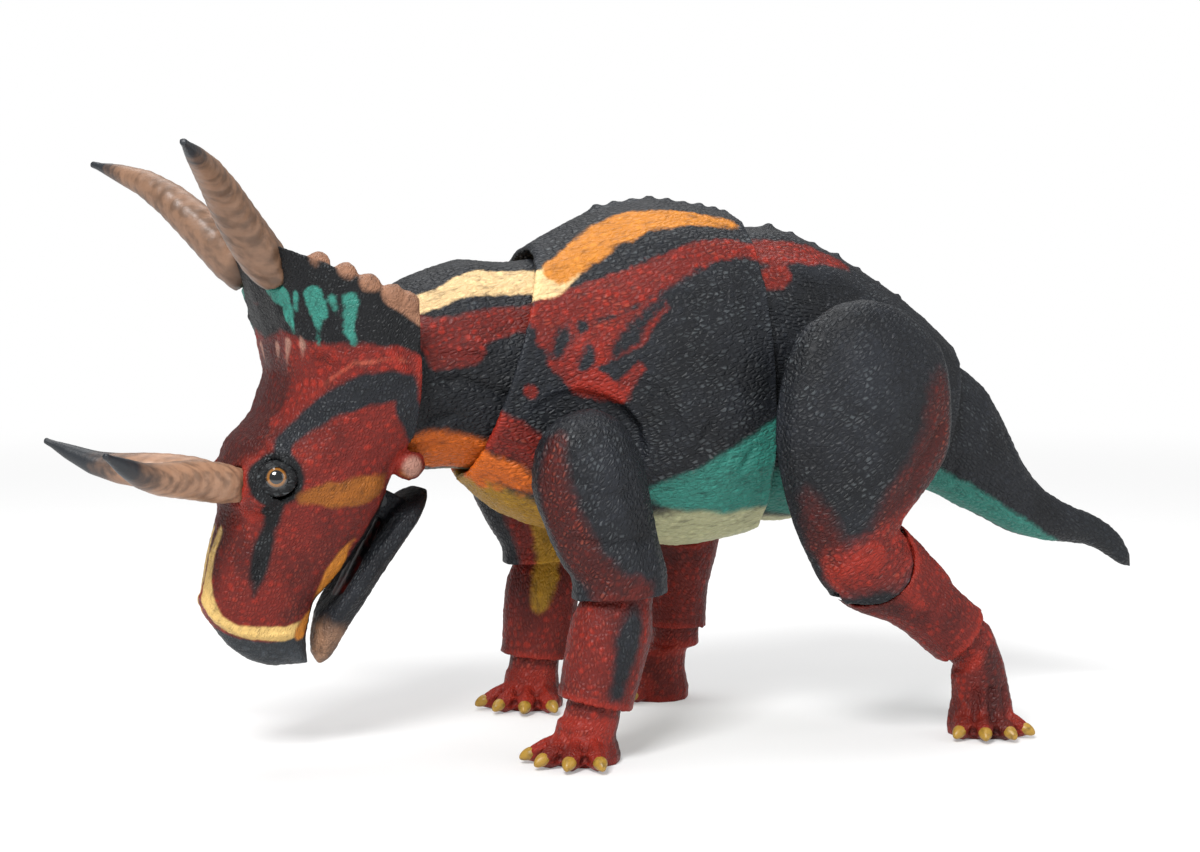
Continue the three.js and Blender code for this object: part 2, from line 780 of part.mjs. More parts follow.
// The slot in a limb's inner face for its hinge's knuckle, and the pin's bore
function knuckleSlot(side, thickness) {
  const inward = -side * (thickness / 2 - hingeInset);
  const reach = hingeInset + limbGap;
  const height = 2 * (knuckleRadius + gap + hingeInset * Math.sin(limbSplay));
  return move(
    unite([
      rodX(knuckleRadius + gap, knuckleWidth + 2 * gap),
      move(box(knuckleWidth + 2 * gap, reach, height), 0, (-side * reach) / 2, 0),
      rodX(pinRadius + gap, pinLength + 2 * gap),
    ]),
    0,
    inward,
    0,
  );
}

function upperArmSolid(side) {
  const tilt = elbowExit / 2;
  const wall = limbGap - gap;
  const rimDepth = Math.max(0.42 * upperArmDepth, elbowMouth(elbowDepth) + wall);
  const rimThickness = Math.max(0.49 * upperArmThickness, elbowThickness / 2 + gap + wall);
  const rim = [-elbowRim * Math.sin(elbowExit), -upperArmLength - elbowRim * Math.cos(elbowExit)];
  const rings = [
    ...limbRings(upperArmShares, upperArmLength, upperArmDepth, upperArmThickness),
    limbRing(rim[0], rim[1], rimDepth, rimThickness, -tilt),
  ];
  const half = elbowThickness / 2 + gap;
  const cup = skin(
    [
      ...domeRings(elbowRadius + gap, half),
      limbRing(0, 0, elbowMouth(0), half),
      limbRing(0, -elbowDepth, elbowMouth(elbowDepth), half),
    ],
    limbSides,
  );
  const bore = rodY(pinRadius + gap, pinLength + 2 * gap);
  return cut(skin(rings, limbSides), [
    move(turn(cup, 0, elbowExit, 0), 0, 0, -upperArmLength),
    move(bore, 0, 0, -upperArmLength),
    knuckleSlot(side, upperArmThickness),
  ]);
}

// The cup for a hand's or foot's dome, with the bore for its ball peg
const footCollar = footSeatRadius + footSeatGap + rimWall;
const footRim = footSeatGap;

function ankleCup() {
  const radius = footSeatRadius + footSeatGap;
  const depth = footRim + overrun;
  const rod = footRodLength + gap;
  const chamber = footHeadLength + 2 * gap;
  const mouth = rodY(radius / Math.cos(Math.PI / limbSides), depth, limbSides);
  const upright = (solid, y) => turn(move(solid, 0, y, 0), Math.PI / 2, 0, 0);
  return unite([
    hollowBall(radius, limbSides),
    upright(mouth, -depth / 2),
    upright(rodY(footRodRadius + gap, rod), rod / 2),
    upright(rodY(footHeadRadius + gap, chamber), rod - chamber / 2),
  ]);
}

const forearmShares = [
  [0, -0.28, 0.46, 0.45, 0],
  [0, -0.42, 0.495, 0.49, 0],
  [0, -0.6, 0.49, 0.5, 0],
  [0, -0.8, 0.47, 0.49, 0],
];

function forearmSolid() {
  const half = elbowThickness / 2;
  const rings = [
    ...domeRings(elbowRadius, half),
    limbRing(0, 0, elbowRadius, half),
    limbRing(0, -0.58 * elbowRadius, elbowRadius, half),
    ...limbRings(forearmShares, forearmLength, forearmDepth, forearmThickness, 1),
    limbRing(0, -forearmLength - footRim, Math.max(0.447 * forearmDepth, footCollar), footCollar),
  ];
  return cut(skin(rings, limbSides), [
    rodY(pinRadius + gap, forearmThickness),
    move(ankleCup(), 0, 0, -forearmLength),
  ]);
}

// The thigh's lower end is two round cheeks that straddle the shin's tongue
const thighShares = [
  [-0.026, 0.633, 0, 0, 0],
  [-0.023, 0.541, 0.236, 0.29, 0],
  [-0.004, 0.343, 0.418, 0.42, 0],
  [0, 0.053, 0.489, 0.49, 0],
  [0, -0.29, 0.5, 0.5, 0],
  [0, -0.58, 0.43, 0.49, 10],
  [0, -0.79, 0.35, 0.475, 22],
];
const kneeStem = 1.7 * kneeTongueRadius;

function thighSolid(side) {
  const away = new THREE.Vector2(-Math.sin(kneeExit), -Math.cos(kneeExit));
  const far = away.clone().multiplyScalar(1.1 * kneeRadius);
  const cheek = 0.46 * thighThickness;
  const rings = [
    ...limbRings(thighShares, thighLength, thighDepth, thighThickness),
    limbRing(0, -thighLength, kneeRadius, cheek, degrees(36)),
    limbRing(far.x, -thighLength + far.y, kneeRadius, cheek, -kneeExit),
  ];
  const reach = 3 * kneeRadius;
  const beyond = (length, width, angle) =>
    turn(move(box(length, width, reach), 0, 0, -reach / 2), 0, angle, 0);
  const round = rodY(kneeRadius, 2 * thighThickness, bodySides);
  const trim = beyond(reach, 2 * thighThickness, kneeExit).subtract(round);
  const slotWidth = kneeTongueThickness + 2 * gap;
  const slot = unite([
    rodY(kneeTongueRadius + gap, slotWidth, bodySides),
    beyond(kneeStem + 2 * gap, slotWidth, kneeExit - kneeSpan),
    beyond(kneeStem + 2 * gap, slotWidth, kneeExit + kneeSpan),
    rodY(pinRadius + gap, pinLength + 2 * gap),
  ]);
  return cut(skin(rings, limbSides + 2), [
    move(trim, 0, 0, -thighLength),
    move(slot, 0, 0, -thighLength),
    knuckleSlot(side, thighThickness),
  ]);
}

const shinShares = [
  [0, 0, 0.5, 0.5, 0],
  [0, -0.2, 0.5, 0.505, 0],
  [0.02, -0.37, 0.455, 0.49, 0],
  [0.033, -0.51, 0.4, 0.48, 0],
  [0.012, -0.69, 0.35, 0.48, 0],
];

function shinSolid() {
  const rings = [
    ...limbRings(shinShares, shinLength, shinDepth, shinThickness),
    limbRing(0, -0.86 * shinLength, footCollar, footCollar),
    limbRing(0, -shinLength - footRim, footCollar, footCollar),
  ];
  const stem = 0.45 * shinLength;
  const tongue = unite([
    rodY(kneeTongueRadius, kneeTongueThickness, bodySides),
    move(box(kneeStem, kneeTongueThickness, stem), 0, 0, -stem / 2),
  ]);
  const body = skin(rings, limbSides).subtract(rodY(kneeRadius + gap, 2 * shinThickness, bodySides));
  return cut(body.add(tongue), [
    rodY(pinRadius + gap, shinThickness),
    move(ankleCup(), 0, 0, -shinLength),
  ]);
}

// A limb's hinge: a headed peg that turns in the body and a knuckle for the limb's pin
function hingeSolid(side) {
  const inner = hingeInset + limbGap + pegDepth;
  const face = hingeInset + limbGap + gap;
  const stem = knuckleRadius - overrun;
  const profile = [
    [0, -inner],
    [pegHeadRadius, -inner],
    [pegHeadRadius, -inner + pegHeadLength],
    [pegRadius, -inner + pegHeadLength],
    [pegRadius, -face],
    [stem, -face],
    [stem, 0],
    [0, 0],
  ];
  const peg = turn(turned(profile), Math.PI / 2, 0, 0);
  const inward = side > 0 ? turn(peg, Math.PI, 0, 0) : peg;
  return cut(unite([inward, rodX(knuckleRadius, knuckleWidth)]), [
    rodX(pinRadius + gap, 2 * knuckleWidth),
  ]);
}

// A ball peg for a wrist or ankle. It turns in the limb and its ball tilts in the foot.
function footPegSolid() {
  const head = footRodLength - footHeadLength;
  return unite([
    ball(footBallRadius),
    turned([
      [0, 0],
      [footRodRadius, 0],
      [footRodRadius, head],
      [footHeadRadius, head],
      [footHeadRadius, footRodLength],
      [0, footRodLength],
    ]),
  ]);
}

const pawShares = [
  [0.8, -0.32, 0.5, 0.48, 0.35],
  [1, -0.6, 0.54, 0.52, 0.1],
  [1, -0.85, 0.62, 0.6, 0],
  [1, -1, 0.6, 0.58, 0],
];
const toeFan = [-48, -16, 16, 48].map(degrees);

// A hand or foot. Its origin is the centre of its ball, height above the ground, and
// rise is the angle of the limb above it. Its sole is shifted by lean along X.
function pawSolid(height, reach, aim, rise, lean) {
  const along = (t) =>
    limbRing(-t * Math.sin(rise), -t * Math.cos(rise), footSeatRadius, footSeatRadius, -rise);
  const rows = pawShares.map(([shift, z, half, across, slope]) =>
    limbRing(shift * lean, z * height, half * pawWidth, across * pawWidth, -slope * rise));
  const dome = domeRings(footSeatRadius, footSeatRadius);
  const palm = skin(
    [
      ...leanRings(dome, rise),
      along(0),
      along(0.8 * footSeatRadius),
      ...rows,
    ],
    limbSides,
  );
  const toe = skin(
    [
      ring(-0.15 * reach, 1.25 * toeRadius, 1.1 * toeRadius, toeRadius),
      ring(-0.45 * reach, 1.25 * toeRadius, 1.15 * toeRadius, toeRadius),
      ring(-0.7 * reach, 0.9 * toeRadius, toeRadius, 0.95 * toeRadius),
      ring(-0.85 * reach, 0.8 * toeRadius, 0.65 * toeRadius, 0.65 * toeRadius),
      ring(-reach, 0.5 * toeRadius, 0.2 * toeRadius, 0.2 * toeRadius),
    ],
    smallSides,
  );
  const toes = toeFan.map((fan) => move(turn(toe, 0, 0, fan + aim), lean, 0, -height));
  const floor = move(box(4 * reach, 4 * reach, reach), 0, 0, -height - reach / 2);
  const mouth = footRodRadius / Math.cos(footSwing) + gap;
  const depth = footSeatRadius + overrun;
  const cone = turned([
    [0, 0],
    [mouth, 0],
    [mouth + depth * Math.tan(footSwing), depth],
    [0, depth],
  ]);
  return cut(unite([palm, ...toes]), [
    floor,
    hollowBall(footBallRadius + gap),
    turn(cone, 0, rise, 0),
  ]);
}

// Assembly. Each joint is a group whose origin lies on the joint's axis.
function place(group, name, solid, material, y = 0) {
  const mesh = meshOf(name, solid, material);
  mesh.position.y = y;
  group.add(mesh);
}

const figure = new THREE.Group();
const chest = groupAt(figure, "stand", 0, 0, chestRise);
place(chest, "chest", chestSolid(), darkHide);

const neck = hangByBalls(chest, "neck", neckAt.x, neckAt.z, neckTilt, -1);
place(neck, "neck", neckSolid(), redHide);

const head = hangByBalls(neck, "head", headAt.x, headAt.z, headTilt, -1);
const face = groupAt(head, "face", 0, 0, 0);
face.rotation.copy(attitude);
place(face, "skull", skullSolid(), redHide);
[left, right].forEach(({ name, side }) => {
  place(face, `brow_horn_${name}`, hornOf(brow, side), horn);
  place(face, `frill_horn_${name}`, hornOf(crest, side), horn);
  const socket = groupAt(face, `eye_socket_${name}`, eyeAt.x, side * eyeAt.y, eyeAt.z);
  place(socket, `eye_${name}`, ball(eyeRadius), eyeGloss);
});
const mouth = groupAt(face, "jaw_hinge", jawAt.x, 0, jawAt.z);
place(mouth, "lower_jaw", jawSolid(), slate);
place(mouth, "jaw_pin", rodY(pinRadius, jawPinLength), jointPlastic);

const pelvis = hangByBalls(chest, "waist", waistAt.x, waistAt.z, waistTilt, 1);
place(pelvis, "pelvis", pelvisSolid(), darkHide);

const tail = hangByBalls(pelvis, "tail", tailAt.x, tailAt.z, tailTilt, 1);
place(tail, "tail", tailSolid(), darkHide);

// Hangs an upper limb on its hinge and returns the group of its middle joint
function hangLimb(body, at, bodyFace, joint, piece, name, side, angle, thickness, length, solid, material) {
  const swing = groupAt(body, `${joint}_${name}_swing`, at.x, side * (bodyFace + hingeInset), at.z);
  swing.rotation.y = angle;
  place(swing, `${joint}_hinge_${name}`, hingeSolid(side), jointPlastic);
  const splay = groupAt(swing, `${joint}_${name}_splay`, 0, 0, 0);
  const middle = side * (thickness / 2 - hingeInset);
  place(splay, `${piece}_${name}`, solid, material, middle);
  place(splay, `${joint}_pin_${name}`, rodX(pinRadius, pinLength), jointPlastic);
  return groupAt(splay, `${piece}_end_${name}`, 0, middle, -length);
}

// Hangs a hand or foot on its ball peg, level above the ground
function hangPaw(limb, joint, piece, name, length, rise, solidAt, material) {
  const swivel = groupAt(limb, `${joint}_${name}_swivel`, 0, 0, -length);
  place(swivel, `${joint}_ball_peg_${name}`, footPegSolid(), jointPlastic);
  const pitch = groupAt(swivel, `${joint}_${name}_pitch`, 0, 0, 0);
  pitch.rotation.y = -rise;
  const height = pitch.getWorldPosition(new THREE.Vector3()).z;
  place(pitch, `${piece}_${name}`, solidAt(height), material);
}

[left, right].forEach((pose) => {
  const { name, side } = pose;
  const elbow = hangLimb(chest, shoulderAt, armFace, "shoulder", "upper_arm", name, side,
    pose.shoulder, upperArmThickness, upperArmLength, upperArmSolid(side), darkHide);
  elbow.rotation.y = pose.elbow;
  place(elbow, `forearm_${name}`, forearmSolid(), redHide);
  place(elbow, `elbow_pin_${name}`, rodY(pinRadius, pinLength), jointPlastic);
  const armRise = pose.shoulder + pose.elbow;
  hangPaw(elbow, "wrist", "hand", name, forearmLength, armRise,
    (height) => pawSolid(height, handReach, -side * pose.handTurn, armRise, -pose.palmShift), brightRed);

  const knee = hangLimb(pelvis, hipAt, legFace, "hip", "thigh", name, side,
    pose.hip, thighThickness, thighLength, thighSolid(side), darkHide);
  knee.rotation.y = pose.knee;
  place(knee, `shin_${name}`, shinSolid(), brightRed);
  place(knee, `knee_pin_${name}`, rodY(pinRadius, pinLength), jointPlastic);
  const legRise = pose.hip + pose.knee;
  hangPaw(knee, "ankle", "foot", name, shinLength, legRise,
    (height) => pawSolid(height, footReach, -side * pose.footTurn, legRise, pose.soleShift), brightRed);
});

const bounds = new THREE.Box3().setFromObject(figure, true);
const middle = bounds.getCenter(new THREE.Vector3());
figure.position.set(-middle.x, -middle.y, -bounds.min.z);

export default figure;
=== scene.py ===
"""A painted, posable horned dinosaur figure with sculpted hide, in a small studio."""
import json
import math

import bmesh
import bpy
import numpy as np
from mathutils import Matrix, Vector
from mathutils.kdtree import KDTree


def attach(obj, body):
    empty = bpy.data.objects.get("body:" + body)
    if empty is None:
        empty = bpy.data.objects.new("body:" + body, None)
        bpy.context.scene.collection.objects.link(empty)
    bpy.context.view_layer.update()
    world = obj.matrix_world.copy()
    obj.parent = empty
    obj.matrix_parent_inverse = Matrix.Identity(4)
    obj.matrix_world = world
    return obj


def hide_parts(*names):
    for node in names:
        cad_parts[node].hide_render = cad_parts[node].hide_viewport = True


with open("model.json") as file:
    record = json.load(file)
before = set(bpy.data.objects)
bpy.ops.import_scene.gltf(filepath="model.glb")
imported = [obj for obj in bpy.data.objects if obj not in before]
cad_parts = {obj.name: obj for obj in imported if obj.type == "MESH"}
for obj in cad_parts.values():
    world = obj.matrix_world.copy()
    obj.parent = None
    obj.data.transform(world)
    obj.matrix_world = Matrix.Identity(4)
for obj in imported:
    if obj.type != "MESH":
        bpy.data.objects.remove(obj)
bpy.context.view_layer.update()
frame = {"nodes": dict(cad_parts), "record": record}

bl_info = {
    "name": "Posable horned dinosaur figure",
    "version": (1, 0, 0),
    "blender": (4, 5, 0),
    "location": "3D View > Sidebar > Figure",
    "description": "Sculpts and paints the hide, horns, eyes and claws of a posable figure",
    "category": "Object",
}

MM = 0.001
TINY = 1e-6
FAR = 1e3
# The figure's middle plane, in millimetres along Y.
MIDDLE = 1.83

# The head's frame: origin in millimetres, then its X and Z directions.
FACE = ((-61.8, MIDDLE, 88.7), (0.447, 0.079, 0.891), (-0.884, -0.12, 0.454))
# Each limb's frame: origin in millimetres from the middle plane, then how far its X direction
# points aft and up.
LIMBS = {
    "upper_arm_left": (-22.5, -28.5, 70.2, 0.96, 0.28),
    "upper_arm_right": (-22.5, 28.5, 70.2, 0.95, 0.33),
    "forearm_left": (-14.5, -33, 43.2, 0.97, -0.23),
    "forearm_right": (-13.3, 33, 43.5, 0.99, -0.12),
    "thigh_left": (47.5, -29.5, 84.8, 1, -0.05),
    "thigh_right": (47.5, 29.5, 84.8, 0.79, -0.62),
    "shin_left": (45.5, -34, 46.9, 0.62, 0.79),
    "shin_right": (24.2, 34, 54.9, 1, -0.03),
    "hand_left": (-23.9, -33, 0, 1, 0),
    "hand_right": (-17.9, 33, 0, 1, 0),
    "foot_left": (79.6, -34, 0, 1, 0),
    "foot_right": (18, 34, 0, 1, 0),
}
TRUNK = (0, 0, 0, 1, 0)
# Each eye: its centre in millimetres, and the way it looks in the head's frame.
EYES = {
    "left": ((-94.0, MIDDLE - 20, 67.7), (0.05, -0.93, 0.36)),
    "right": ((-98.3, MIDDLE + 9.4, 67.2), (0.05, 0.93, 0.36)),
}
# The eyeball: its radius, where its cap begins, how far that bulges, and the depth of its paint.
EYE_RADIUS, EYE_CAP, EYE_BULGE, EYE_DEPTH = 4.2, 3.6, 0.35, 4.3
# The lids: distance of their roll from the gaze, its radius, how far out it is, where its folds
# begin, how deep and how many they are, and how much wider than long the ring is.
LID_RING, LID_ROLL, LID_OUT = 2.95, 1.35, 2.1
FOLD_START, FOLD_DEPTH, FOLDS, LID_STRETCH = 3.4, 0.14, 9, 1.12
# Radii of a claw and of the tongue, and where they lie.
CLAW = (2.7, 1.8, 1.55)
CLAW_LIFT = CLAW_INSET = 1.9
TONGUE = (13.5, 5, 1.2)
TONGUE_SPOT = (-44.0, 0, -10.2)
# Directions of the toes and of the grooves between them in degrees, fanned about a paw's aim.
TOE_FAN = (-48, -16, 16, 48)
GROOVE_FAN = (-32, 0, 32)
# Each paw: how far its toes reach in millimetres, and which way they point in degrees.
PAWS = {
    "hand_left": (15, 40),
    "hand_right": (15, 50),
    "foot_left": (13.5, 84),
    "foot_right": (13.5, -12),
}

# Widths of the painted noises, in metres.
BROAD, RAGGED, STREAK, PATCH = 0.014, 0.005, 0.0012, 0.02
GRAIN, FINE_GRAIN = 0.0007, 0.0006
HORN_STREAK, HORN_CLOUD, FLESH_CLOUD, CLAW_CLOUD = 0.0016, 0.008, 0.003, 0.0015
PLASTIC_CLOUD, PLASTIC_GRAIN, IRIS_FLECK = 0.004, 0.0005, 0.0005

# Each lamp: its place in metres, its size in metres and its power in watts.
LAMPS = {
    "key": ((-0.5, -0.7, 0.9), 0.4, 15.5),
    "fill": ((0.75, -0.6, 0.45), 0.7, 2.2),
    "top": ((0.05, 0.35, 0.95), 0.8, 6.0),
}
LAMP_AIM = (0, 0, 0.07)
ROOM_LIGHT = 0.36
# The floor: its size in metres, its grey, and the distances between which it fades to white.
FLOOR_SIZE, FLOOR_GREY, FADE = 12, 0.84, (0.25, 1.1)
# The camera: angle around, angle above, distance and aim in millimetres, lens and sensor.
AROUND, ABOVE, DISTANCE = math.radians(-18.0), math.radians(4.2), 540
AIM = (-9.467, MIDDLE, 76.7)
LENS, SENSOR = 64.8, 36


def linear(code):
    """A colour written as six hexadecimal digits, as the linear values a shader takes."""
    parts = [int(code[i:i + 2], 16) / 255 for i in (0, 2, 4)]
    return tuple(c / 12.92 if c <= 0.04045 else ((c + 0.055) / 1.055) ** 2.4 for c in parts)


def tint(label, description, code):
    """A colour that the user may change."""
    return bpy.props.FloatVectorProperty(
        name=label, description=description, subtype="COLOR", size=3, min=0, max=1,
        default=linear(code))


def length(label, description, value):
    """A size in millimetres that the user may change."""
    return bpy.props.FloatProperty(name=label, description=description, default=value, min=0)


class FigureColours(bpy.types.PropertyGroup):
    """Colours of the painted hide and its details."""

    charcoal: tint("Charcoal", "Main dark colour of the hide", "202329")
    # Black also darkens gaps and grooves: a dark wash that is also painted shade.
    black: tint("Black", "Frill, rings round the eyes and dark wash", "0c0e11")
    # Ash lightens raised scales on dark paint: dry-brushed paint that is also a painted highlight.
    ash: tint("Ash", "Dry-brushed highlights on the raised scales", "747b7e")
    maroon: tint("Maroon", "Shadowed red of the face and the limbs", "58160f")
    brick: tint("Brick", "Red of the face, shins and feet", "8f2518")
    scarlet: tint("Scarlet", "Bright red bands and patches", "922416")
    # Coral also lightens raised scales on red paint: dry-brushed paint that is also a painted
    # highlight.
    coral: tint("Coral", "Lines over the brow and light edges of red scales", "b85a44")
    cream: tint("Cream", "Front of the stripe along the back", "efcb94")
    amber: tint("Amber", "Rear of the stripe along the back, mouth corner", "d2842c")
    orange: tint("Orange", "Throat and drips on the breast", "d8691a")
    ochre: tint("Ochre", "Breast and inner side of the arms", "b08422")
    mustard: tint("Mustard", "Patch behind the eye", "98581a")
    teal: tint("Teal", "Belly, underside of the tail and frill blotches", "368678")
    moss: tint("Moss", "Pale underside", "c4c498")
    bone: tint("Bone", "Beak rim", "e3bd74")
    claw: tint("Claws", "Blunt claws of the hands and feet", "a5802f")
    blush: tint("Blush", "Cheek knob and streaks on the frill", "b08070")
    slate: tint("Slate", "Beak", "3d4247")
    tan: tint("Tan", "Horns and the tip of the jaw", "a07a60")
    knob: tint("Knobs", "Bony knobs round the frill", "946a52")
    tip: tint("Horn tip", "Dark ends of the horns and the tail", "22262b")
    iris: tint("Iris", "Colour of the eye", "8a591c")


class FigureSculpt(bpy.types.PropertyGroup):
    """Sizes of the sculpted surface, in millimetres."""

    voxel: length("Grain of the skin", "Distance between points of the sculpted skin", 0.55)
    pebble: length("Pebble size", "Width of a raised scale", 1.9)
    pebble_height: length("Pebble height", "Height of a raised scale", 0.3)
    swell: length("Swell", "Height of the soft lumps under the hide", 0.45)
    scale: length("Fine scale size", "Width of the fine painted scales", 1.3)


def colour(name):
    """The user's colour of that name."""
    return tuple(getattr(bpy.context.scene.figure_colours, name))


def dim(tone, share):
    """A colour with its light multiplied."""
    return tuple(share * c for c in tone)


def add_object(name, data):
    """A new object in the scene."""
    thing = bpy.data.objects.new(name, data)
    bpy.context.scene.collection.objects.link(thing)
    return thing


def deselect():
    """Leaves nothing selected."""
    if bpy.context.mode != "OBJECT":
        bpy.ops.object.mode_set(mode="OBJECT")
    bpy.ops.object.select_all(action="DESELECT")


def choose(thing):
    """Makes one object the only selected one and the active one."""
    deselect()
    thing.select_set(True)
    bpy.context.view_layer.objects.active = thing


def apply_modifier(piece, kind, **settings):
    """Adds a modifier to the piece and applies it."""
    choose(piece)
    modifier = piece.modifiers.new(kind.title(), kind)
    for key, value in settings.items():
        setattr(modifier, key, value)
    bpy.ops.object.modifier_apply(modifier=modifier.name)


def read_rows(items, key):
    """One vector for each of a mesh's points."""
    flat = np.empty(len(items) * 3)
    items.foreach_get(key, flat)
    return flat.reshape(-1, 3)


def points_of(piece):
    """The positions of a piece's points in metres."""
    return read_rows(piece.data.vertices, "co")


def normals_of(piece):
    """The directions in which a piece's points face."""
    return read_rows(piece.data.vertex_normals, "vector")


def put_points(piece, points):
    """Moves a piece's points to new positions."""
    piece.data.vertices.foreach_set("co", points.ravel())
    piece.data.update()


def axes(origin, x, z):
    """Origin and rows of a local frame in which to place strokes."""
    x = np.array(x, float) / np.linalg.norm(x)
    z = np.array(z, float)
    z -= x * (z @ x)
    z /= np.linalg.norm(z)
    return np.array(origin, float), np.array([x, np.cross(z, x), z])


def frame_of(node):
    """Origin and rows of a node's own frame."""
    if node in ("skull", "lower_jaw"):
        return axes(*FACE)
    x, y, z, aft, up = LIMBS.get(node, TRUNK)
    return axes((x, MIDDLE + y, z), (aft, 0, up), (-up, 0, aft))


def local_points(node, points):
    """Positions in the node's own frame in millimetres, with both sides folded together."""
    origin, rows = frame_of(node)
    turned = (points / MM - origin) @ rows.T
    if node not in LIMBS:
        turned[:, 1] = abs(turned[:, 1])
    elif node.endswith("_left"):
        turned[:, 1] = -turned[:, 1]
    return turned


def reach(points, line):
    """How far inside a tapering stroke each point lies, and how far from the stroke's line."""
    stops = np.array(line * 2 if len(line) == 1 else line, float)
    inside = np.full(len(points), -FAR)
    nearest = np.full(len(points), FAR)
    for start, end in zip(stops[:-1], stops[1:]):
        along = end[:3] - start[:3]
        share = ((points - start[:3]) @ along) / max(along @ along, TINY)
        share = np.clip(share, 0, 1)
        apart = np.linalg.norm(points - start[:3] - share[:, None] * along, axis=1)
        inside = np.maximum(inside, start[3] + share * (end[3] - start[3]) - apart)
        nearest = np.minimum(nearest, apart)
    return inside, nearest


def write_attribute(piece, name, values):
    """Stores one number for each point of a piece."""
    layer = piece.data.attributes.new(name, "FLOAT", "POINT")
    layer.data.foreach_set("value", values.astype(np.float32))


def write_soft(piece, weights, parts=20):
    """Stores how soft each point is for the modifiers, rounded to a number of steps."""
    group = piece.vertex_groups.new(name="soft")
    steps = np.round(weights * parts).astype(int)
    for step in range(1, parts + 1):
        chosen = np.flatnonzero(steps == step)
        if len(chosen):
            group.add(chosen.tolist(), step / parts, "REPLACE")


class Value:
    """A socket in a shader that can be added, taken away, multiplied and divided."""

    def __init__(self, paint, socket):
        self.paint = paint
        self.socket = socket

    def math(self, operation, *terms):
        """The result of one sum on sockets and numbers."""
        return self.paint.value("Math", dict(enumerate(terms)), operation=operation)

    def __add__(self, other):
        return self.math("ADD", self, other)

    __radd__ = __add__

    def __sub__(self, other):
        return self.math("SUBTRACT", self, other)

    def __rsub__(self, other):
        return self.math("SUBTRACT", other, self)

    def __mul__(self, other):
        return self.math("MULTIPLY", self, other)

    __rmul__ = __mul__

    def __truediv__(self, other):
        return self.math("DIVIDE", self, other)

    def above(self, other):
        """The larger of two values."""
        return self.math("MAXIMUM", self, other)

    def ramp(self, low, high):
        """Rises smoothly from 0 at low to 1 at high."""
        return self.paint.value(
            "MapRange", {0: self, 1: low, 2: high}, interpolation_type="SMOOTHSTEP")


class Paint:
    """The nodes of a material or of the room, built one by one."""

    def __init__(self, holder):
        self.holder = holder
        holder.use_nodes = True
        self.tree = holder.node_tree
        self.tree.nodes.clear()

    def node(self, kind, inputs, **settings):
        """Adds a node, sets it up and fills or links its sockets."""
        made = self.tree.nodes.new(f"ShaderNode{kind}")
        for key, value in settings.items():
            setattr(made, key, value)
        for key, value in inputs.items():
            socket = made.inputs[key]
            if isinstance(value, Value):
                self.tree.links.new(value.socket, socket)
            elif isinstance(value, tuple) and socket.type == "RGBA":
                socket.default_value = (*value, 1)
            else:
                socket.default_value = value
        return made

    def value(self, kind, inputs, output=0, **settings):
        """Adds a node and takes one of its outputs."""
        return Value(self, self.node(kind, inputs, **settings).outputs[output])

    def place(self):
        """Positions on the object."""
        return self.value("TexCoord", {}, "Object")

    def moved(self, where, turn=(0, 0, 0), stretch=(1, 1, 1)):
        """Positions turned and stretched."""
        return self.value("Mapping", {0: where, 2: turn, 3: stretch})

    def noise(self, where, size, detail=2.0, rough=0.5):
        """Cloudy noise whose lumps are about size metres wide."""
        return self.value("TexNoise", {
            "Vector": where, "Scale": 1 / size, "Detail": detail, "Roughness": rough})

    def borders(self, where, size, randomness):
        """Distance from the edges of cells that are about size metres wide."""
        return self.value(
            "TexVoronoi", {"Vector": where, "Scale": 1 / size, "Randomness": randomness},
            "Distance", feature="DISTANCE_TO_EDGE")

    def attribute(self, name):
        """A number stored on the piece's points."""
        return self.value("Attribute", {}, "Fac", attribute_name=name)

    def mix(self, first, second, share):
        """One colour going over to another."""
        return self.value("Mix", {0: share, 6: first, 7: second}, 2, data_type="RGBA")

    def finish(self, base, roughness, height=None, depth=0.0, coat=0.0, specular=0.5):
        """Ends in one painted surface with its relief."""
        inputs = {"Base Color": base, "Roughness": roughness, "Coat Weight": coat,
                  "Specular IOR Level": specular}
        if height is not None:
            inputs["Normal"] = self.value(
                "Bump", {"Strength": 1.0, "Distance": depth, "Height": height})
        self.node("OutputMaterial", {0: self.value("BsdfPrincipled", inputs)})
        return self.holder


def new_paint(name):
    """An empty material."""
    return Paint(bpy.data.materials.new(name))


# Colours that take no dry brush or painted highlight and less wash and painted shade, and
# colours whose raised scales turn ash-grey.
CALM = ("cream", "amber", "orange", "bone", "ochre", "mustard", "teal", "moss", "blush", "knob",
        "tan", "coral")
DARK = ("charcoal", "black", "slate", "tip")


